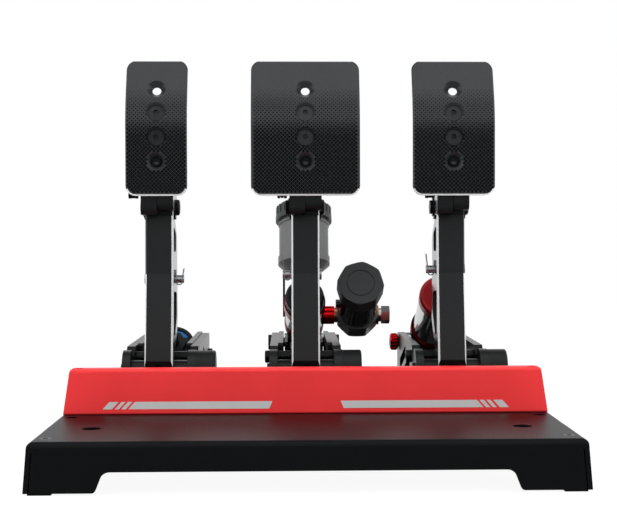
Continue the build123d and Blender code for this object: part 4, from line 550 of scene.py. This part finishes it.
def screw_recess_shade(pedal, x):
    """Painted shadow in the recesses round the two face screws: dark rings, wider above, where the
    screws sit deeper and the shadow falls.
    """
    bm = bmesh.new()
    inward = RECESS_SHADE_INNER_R / RECESS_SHADE_OUTER_R
    for run in SCREW_RUNS:
        ring = bmesh.new()
        bmesh.ops.create_circle(ring, segments=48, radius=RECESS_SHADE_OUTER_R)
        inner = new_verts(bmesh.ops.extrude_edge_only(ring, edges=ring.edges[:]))
        bmesh.ops.scale(ring, verts=inner, vec=(inward, inward, 1))
        bmesh.ops.translate(ring, verts=inner, vec=(0, -RECESS_SHADE_DROP, 0))
        for v in ring.verts:
            v.co = on_face(x + v.co.x, RECESS_SHADE_PROUD, run + v.co.y)
        take_in(bm, ring)
    rear = new_verts(bmesh.ops.extrude_face_region(bm, geom=bm.faces[:]))
    bmesh.ops.translate(bm, verts=rear, vec=(0, RECESS_SHADE_THICK, 0))
    finish_mesh(bm, pedal + "_screw_recess_shade", plug_and_shade_black, pedal + "_pedal")


def back_pad(pedal, x):
    """Small ribbed rubber pad behind the lower left of a face."""
    bm = bmesh.new()
    for place, size in PAD_BLOCKS:
        block = bmesh.ops.create_cube(bm, size=1.0)["verts"]
        bmesh.ops.scale(bm, verts=block, vec=size)
        bmesh.ops.translate(bm, verts=block, vec=Vector((x, FACE_Y, 0)) + Vector(place))
    bmesh.ops.bevel(bm, geom=bm.edges[:], offset=PAD_EDGE_R, affect="EDGES", segments=2,
                    profile=0.5, material=-1)
    finish_mesh(bm, pedal + "_face_pad", rubber_black, pedal + "_pedal")


def clutch_nut():
    """Hexagon nut on a washer with a flat top, which holds the clutch's ring in its housing."""
    low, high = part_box("clutch_elastomer")
    middle = (Vector(low) + Vector(high)) / 2
    bm = bmesh.new()
    turned(bm, ((NUT_BORE_R, 0), (WASHER_R, 0), (WASHER_R, WASHER_EDGE),
                (WASHER_EDGE_R, WASHER_THICK), (NUT_BORE_R, WASHER_THICK), (NUT_BORE_R, 0)))
    cut = bmesh.ops.bisect_plane(bm, geom=bm.verts[:] + bm.edges[:] + bm.faces[:],
                                 plane_co=(0, WASHER_FLAT, 0), plane_no=(0, 1, 0),
                                 clear_outer=True)["geom_cut"]
    bmesh.ops.holes_fill(bm, edges=[e for e in cut if isinstance(e, bmesh.types.BMEdge)])
    nut = bmesh.new()
    hexagon = bmesh.ops.create_circle(nut, segments=6, radius=NUT_CORNER_R)["verts"]
    bmesh.ops.rotate(nut, verts=hexagon, cent=(0, 0, 0),
                     matrix=Matrix.Rotation(math.radians(30), 3, "Z"))
    bmesh.ops.subdivide_edges(nut, edges=nut.edges[:], cuts=7)
    for v in new_verts(bmesh.ops.extrude_edge_only(nut, edges=nut.edges[:])):
        v.co = v.co.normalized() * NUT_BORE_R
    front = new_verts(bmesh.ops.extrude_face_region(nut, geom=nut.faces[:]))
    bmesh.ops.translate(nut, verts=front, vec=(0, 0, NUT_THICK))
    bmesh.ops.translate(nut, verts=nut.verts, vec=(0, 0, WASHER_THICK))
    take_in(bm, nut)
    bmesh.ops.rotate(bm, verts=bm.verts, cent=(0, 0, 0),
                     matrix=Matrix.Rotation(math.atan2(ROD_ALONG.y, -ROD_ALONG.z), 3, "X"))
    bmesh.ops.translate(bm, verts=bm.verts, vec=middle - ROD_ALONG * NUT_SEAT)
    finish_mesh(bm, "clutch_ring_nut", rod_steel, "clutch_unit")


def heel_stripes():
    """Printed bars and slashes on the heel stop's front, mirrored about its middle."""
    bm = bmesh.new()
    marks = [(outer, inner, STRIPE_SLANT) for outer, inner in STRIPE_MARKS]
    marks.append((*BAR_MARK, BAR_END_SLANT))
    for side in (-1, 1):
        for outer, inner, inner_slant in marks:
            corners = ((outer, STRIPE_BOTTOM), (inner, STRIPE_BOTTOM),
                       (inner - inner_slant, STRIPE_TOP), (outer - STRIPE_SLANT, STRIPE_TOP))
            mark = bm.faces.new([
                bm.verts.new((side * x, HEEL_Y + (z - HEEL_Z) * HEEL_LEAN + PRINT_PROUD, z))
                for x, z in corners])
            front = new_verts(bmesh.ops.extrude_face_region(bm, geom=[mark]))
            bmesh.ops.translate(bm, verts=front, vec=(0, -2 * PRINT_PROUD, 0))
    finish_mesh(bm, "heel_stripes", silver_print, "base")


for pedal, x in PEDAL_X.items():
    face_grip(pedal, x)
    hole_plug(pedal, x)
    screw_recess_shade(pedal, x)
    back_pad(pedal, x)
heel_stripes()
clutch_nut()

# Floor: white to the camera, and a share of it lit, so that it keeps the object's shadow; in
# reflections it is white behind the object and dim in front of it, as a sweep lit from behind is
FLOOR_HALF = 6.0
FLOOR_GREY = 0.82
FLOOR_GLOW = 1.10
GLOW_SEEN = 0.85
GLOW_REFLECTED = 0.9
# (place along Y, brightness in reflections) where the dim part ends and the white part starts
DIM_FLOOR = (-0.25, 0.12)
WHITE_FLOOR = (0.10, 1.0)
floor_finish, tree = new_tree("studio_floor_white")
paths = add(tree, "ShaderNodeLightPath")
point = add(tree, "ShaderNodeSeparateXYZ", [
    (0, add(tree, "ShaderNodeNewGeometry").outputs["Position"])])
reflected = add(tree, "ShaderNodeMapRange", [
    ("Value", point.outputs["Y"]), ("From Min", DIM_FLOOR[0]), ("From Max", WHITE_FLOOR[0]),
    ("To Min", DIM_FLOOR[1]), ("To Max", WHITE_FLOOR[1])])
seen = add(tree, "ShaderNodeMath", [(0, paths.outputs["Is Camera Ray"]), (1, FLOOR_GLOW)],
           operation="MULTIPLY")
strength = add(tree, "ShaderNodeMath", [(0, seen), (1, reflected)], operation="MAXIMUM")
glow = add(tree, "ShaderNodeEmission", [("Color", (1, 1, 1, 1)), ("Strength", strength)])
lit = add(tree, "ShaderNodeBsdfDiffuse", [("Color", (FLOOR_GREY, FLOOR_GREY, FLOOR_GREY, 1))])
seen = add(tree, "ShaderNodeMath", [(0, paths.outputs["Is Camera Ray"]), (1, GLOW_SEEN)],
           operation="MULTIPLY")
mirrored = add(tree, "ShaderNodeMath", [
    (0, paths.outputs["Is Glossy Ray"]), (1, GLOW_REFLECTED)], operation="MULTIPLY")
share = add(tree, "ShaderNodeMath", [(0, seen), (1, mirrored)], operation="MAXIMUM")
mixed = add(tree, "ShaderNodeMixShader", [(0, share), (1, lit), (2, glow)])
add(tree, "ShaderNodeOutputMaterial", [("Surface", mixed)])
bm = bmesh.new()
bmesh.ops.create_grid(bm, x_segments=2, y_segments=2, size=FLOOR_HALF)
floor = put("studio_floor", mesh_of(bm, "studio_floor"))
paint(floor, floor_finish)

# World: white to the camera, a plain grey light for the object, and in reflections a studio:
# white backdrop behind, soft boxes beside and above, and the dim room behind the camera
PLAIN_LIGHT = 0.55
# (share along Y, from the camera's side at -1 to the backdrop at 1; brightness in reflections)
ROUND_THE_SET = ((-1.0, 0.06), (-0.94, 0.06), (-0.72, 0.9), (0.06, 1.0), (0.16, 0.1),
                 (0.68, 0.1), (0.8, 1.0))
# The same up from the floor, (share along Z, brightness); the brighter of the two shows
UP_THE_SET = ((-1.0, 0.0), (0.10, 0.0), (0.20, 1.0), (0.34, 1.0), (0.56, 0.22), (1.0, 0.15))


def brightness(tree, share, table):
    """Looks up a direction's share along an axis in a table of (share, brightness)."""
    place = add(tree, "ShaderNodeMath", [(0, share), (1, 0.5), (2, 0.5)],
                operation="MULTIPLY_ADD")
    ramp = add(tree, "ShaderNodeValToRGB", [("Fac", place)])
    stops = ramp.color_ramp.elements
    while len(stops) < len(table):
        stops.new(1.0)
    for stop, (along, bright) in zip(stops, table):
        stop.position = along / 2 + 0.5
        stop.color = (bright, bright, bright, 1)
    return ramp


world = bpy.data.worlds.new("studio")
bpy.context.scene.world = world
world.use_nodes = True
tree = world.node_tree
tree.nodes.clear()
paths = add(tree, "ShaderNodeLightPath")
way = add(tree, "ShaderNodeSeparateXYZ", [
    (0, add(tree, "ShaderNodeTexCoord").outputs["Generated"])])
reflected = add(tree, "ShaderNodeMath", [
    (0, brightness(tree, way.outputs["Y"], ROUND_THE_SET)),
    (1, brightness(tree, way.outputs["Z"], UP_THE_SET))], operation="MAXIMUM")
seen = add(tree, "ShaderNodeMath", [
    (0, paths.outputs["Is Camera Ray"]), (1, paths.outputs["Is Transmission Ray"])],
    operation="MAXIMUM")
plain = add(tree, "ShaderNodeMapRange", [
    ("Value", seen), ("To Min", PLAIN_LIGHT), ("To Max", 1.0)])
strength = add(tree, "ShaderNodeMix", [
    (0, paths.outputs["Is Glossy Ray"]), (2, plain), (3, reflected)], data_type="FLOAT")
sky = add(tree, "ShaderNodeBackground", [("Color", (1, 1, 1, 1)), ("Strength", strength)])
add(tree, "ShaderNodeOutputWorld", [("Surface", sky)])

# Soft boxes over the set and at its front corners: (name, place, what it aims at, size, watts)
SOFT_BOXES = (
    ("top_softbox", (0.0, -0.15, 1.15), (0, 0, 0.1), (1.3, 0.8), 11.0),
    ("left_softbox", (-1.0, -0.8, 0.7), (0, 0, 0.12), (0.6, 0.9), 4.0),
    ("right_softbox", (1.0, -0.8, 0.7), (0, 0, 0.12), (0.6, 0.9), 4.0),
)
for name, place, target, size, power in SOFT_BOXES:
    light = bpy.data.lights.new(name, "AREA")
    light.shape = "RECTANGLE"
    light.size, light.size_y = size
    light.energy = power
    lamp = put(name, light)
    lamp.location = place
    lamp.rotation_euler = (Vector(target) - Vector(place)).to_track_quat("-Z", "Y").to_euler()
    # The world above already holds the boxes that gloss shows
    lamp.visible_glossy = False

# Camera fitted to the base's edges and the faces' tops, in pixels of the 617-wide picture
IMAGE_W = 617
FOCAL_PX = 1400
PRINCIPAL_X = 331.13
SENSOR_W = 36.0
CAMERA_PLACE = (-0.01178, -1.0562, 0.1624)
YAW, PITCH, ROLL = math.radians(1.698), math.radians(1.347), math.radians(-0.137)
view = bpy.data.cameras.new("camera")
view.sensor_fit = "HORIZONTAL"
view.sensor_width = SENSOR_W
view.lens = FOCAL_PX / IMAGE_W * SENSOR_W
view.shift_x = -(PRINCIPAL_X - IMAGE_W / 2) / IMAGE_W
view.clip_start, view.clip_end = 0.05, 20.0
camera = put("camera", view)
turn = (Matrix.Rotation(ROLL, 3, "Y") @ Matrix.Rotation(PITCH, 3, "X")
        @ Matrix.Rotation(YAW, 3, "Z"))
camera.matrix_world = Matrix.Translation(CAMERA_PLACE) @ (
    turn.inverted().to_4x4() @ Matrix.Rotation(math.radians(90), 4, "X"))
bpy.context.scene.camera = camera
bpy.context.scene.view_settings.view_transform = "Standard"
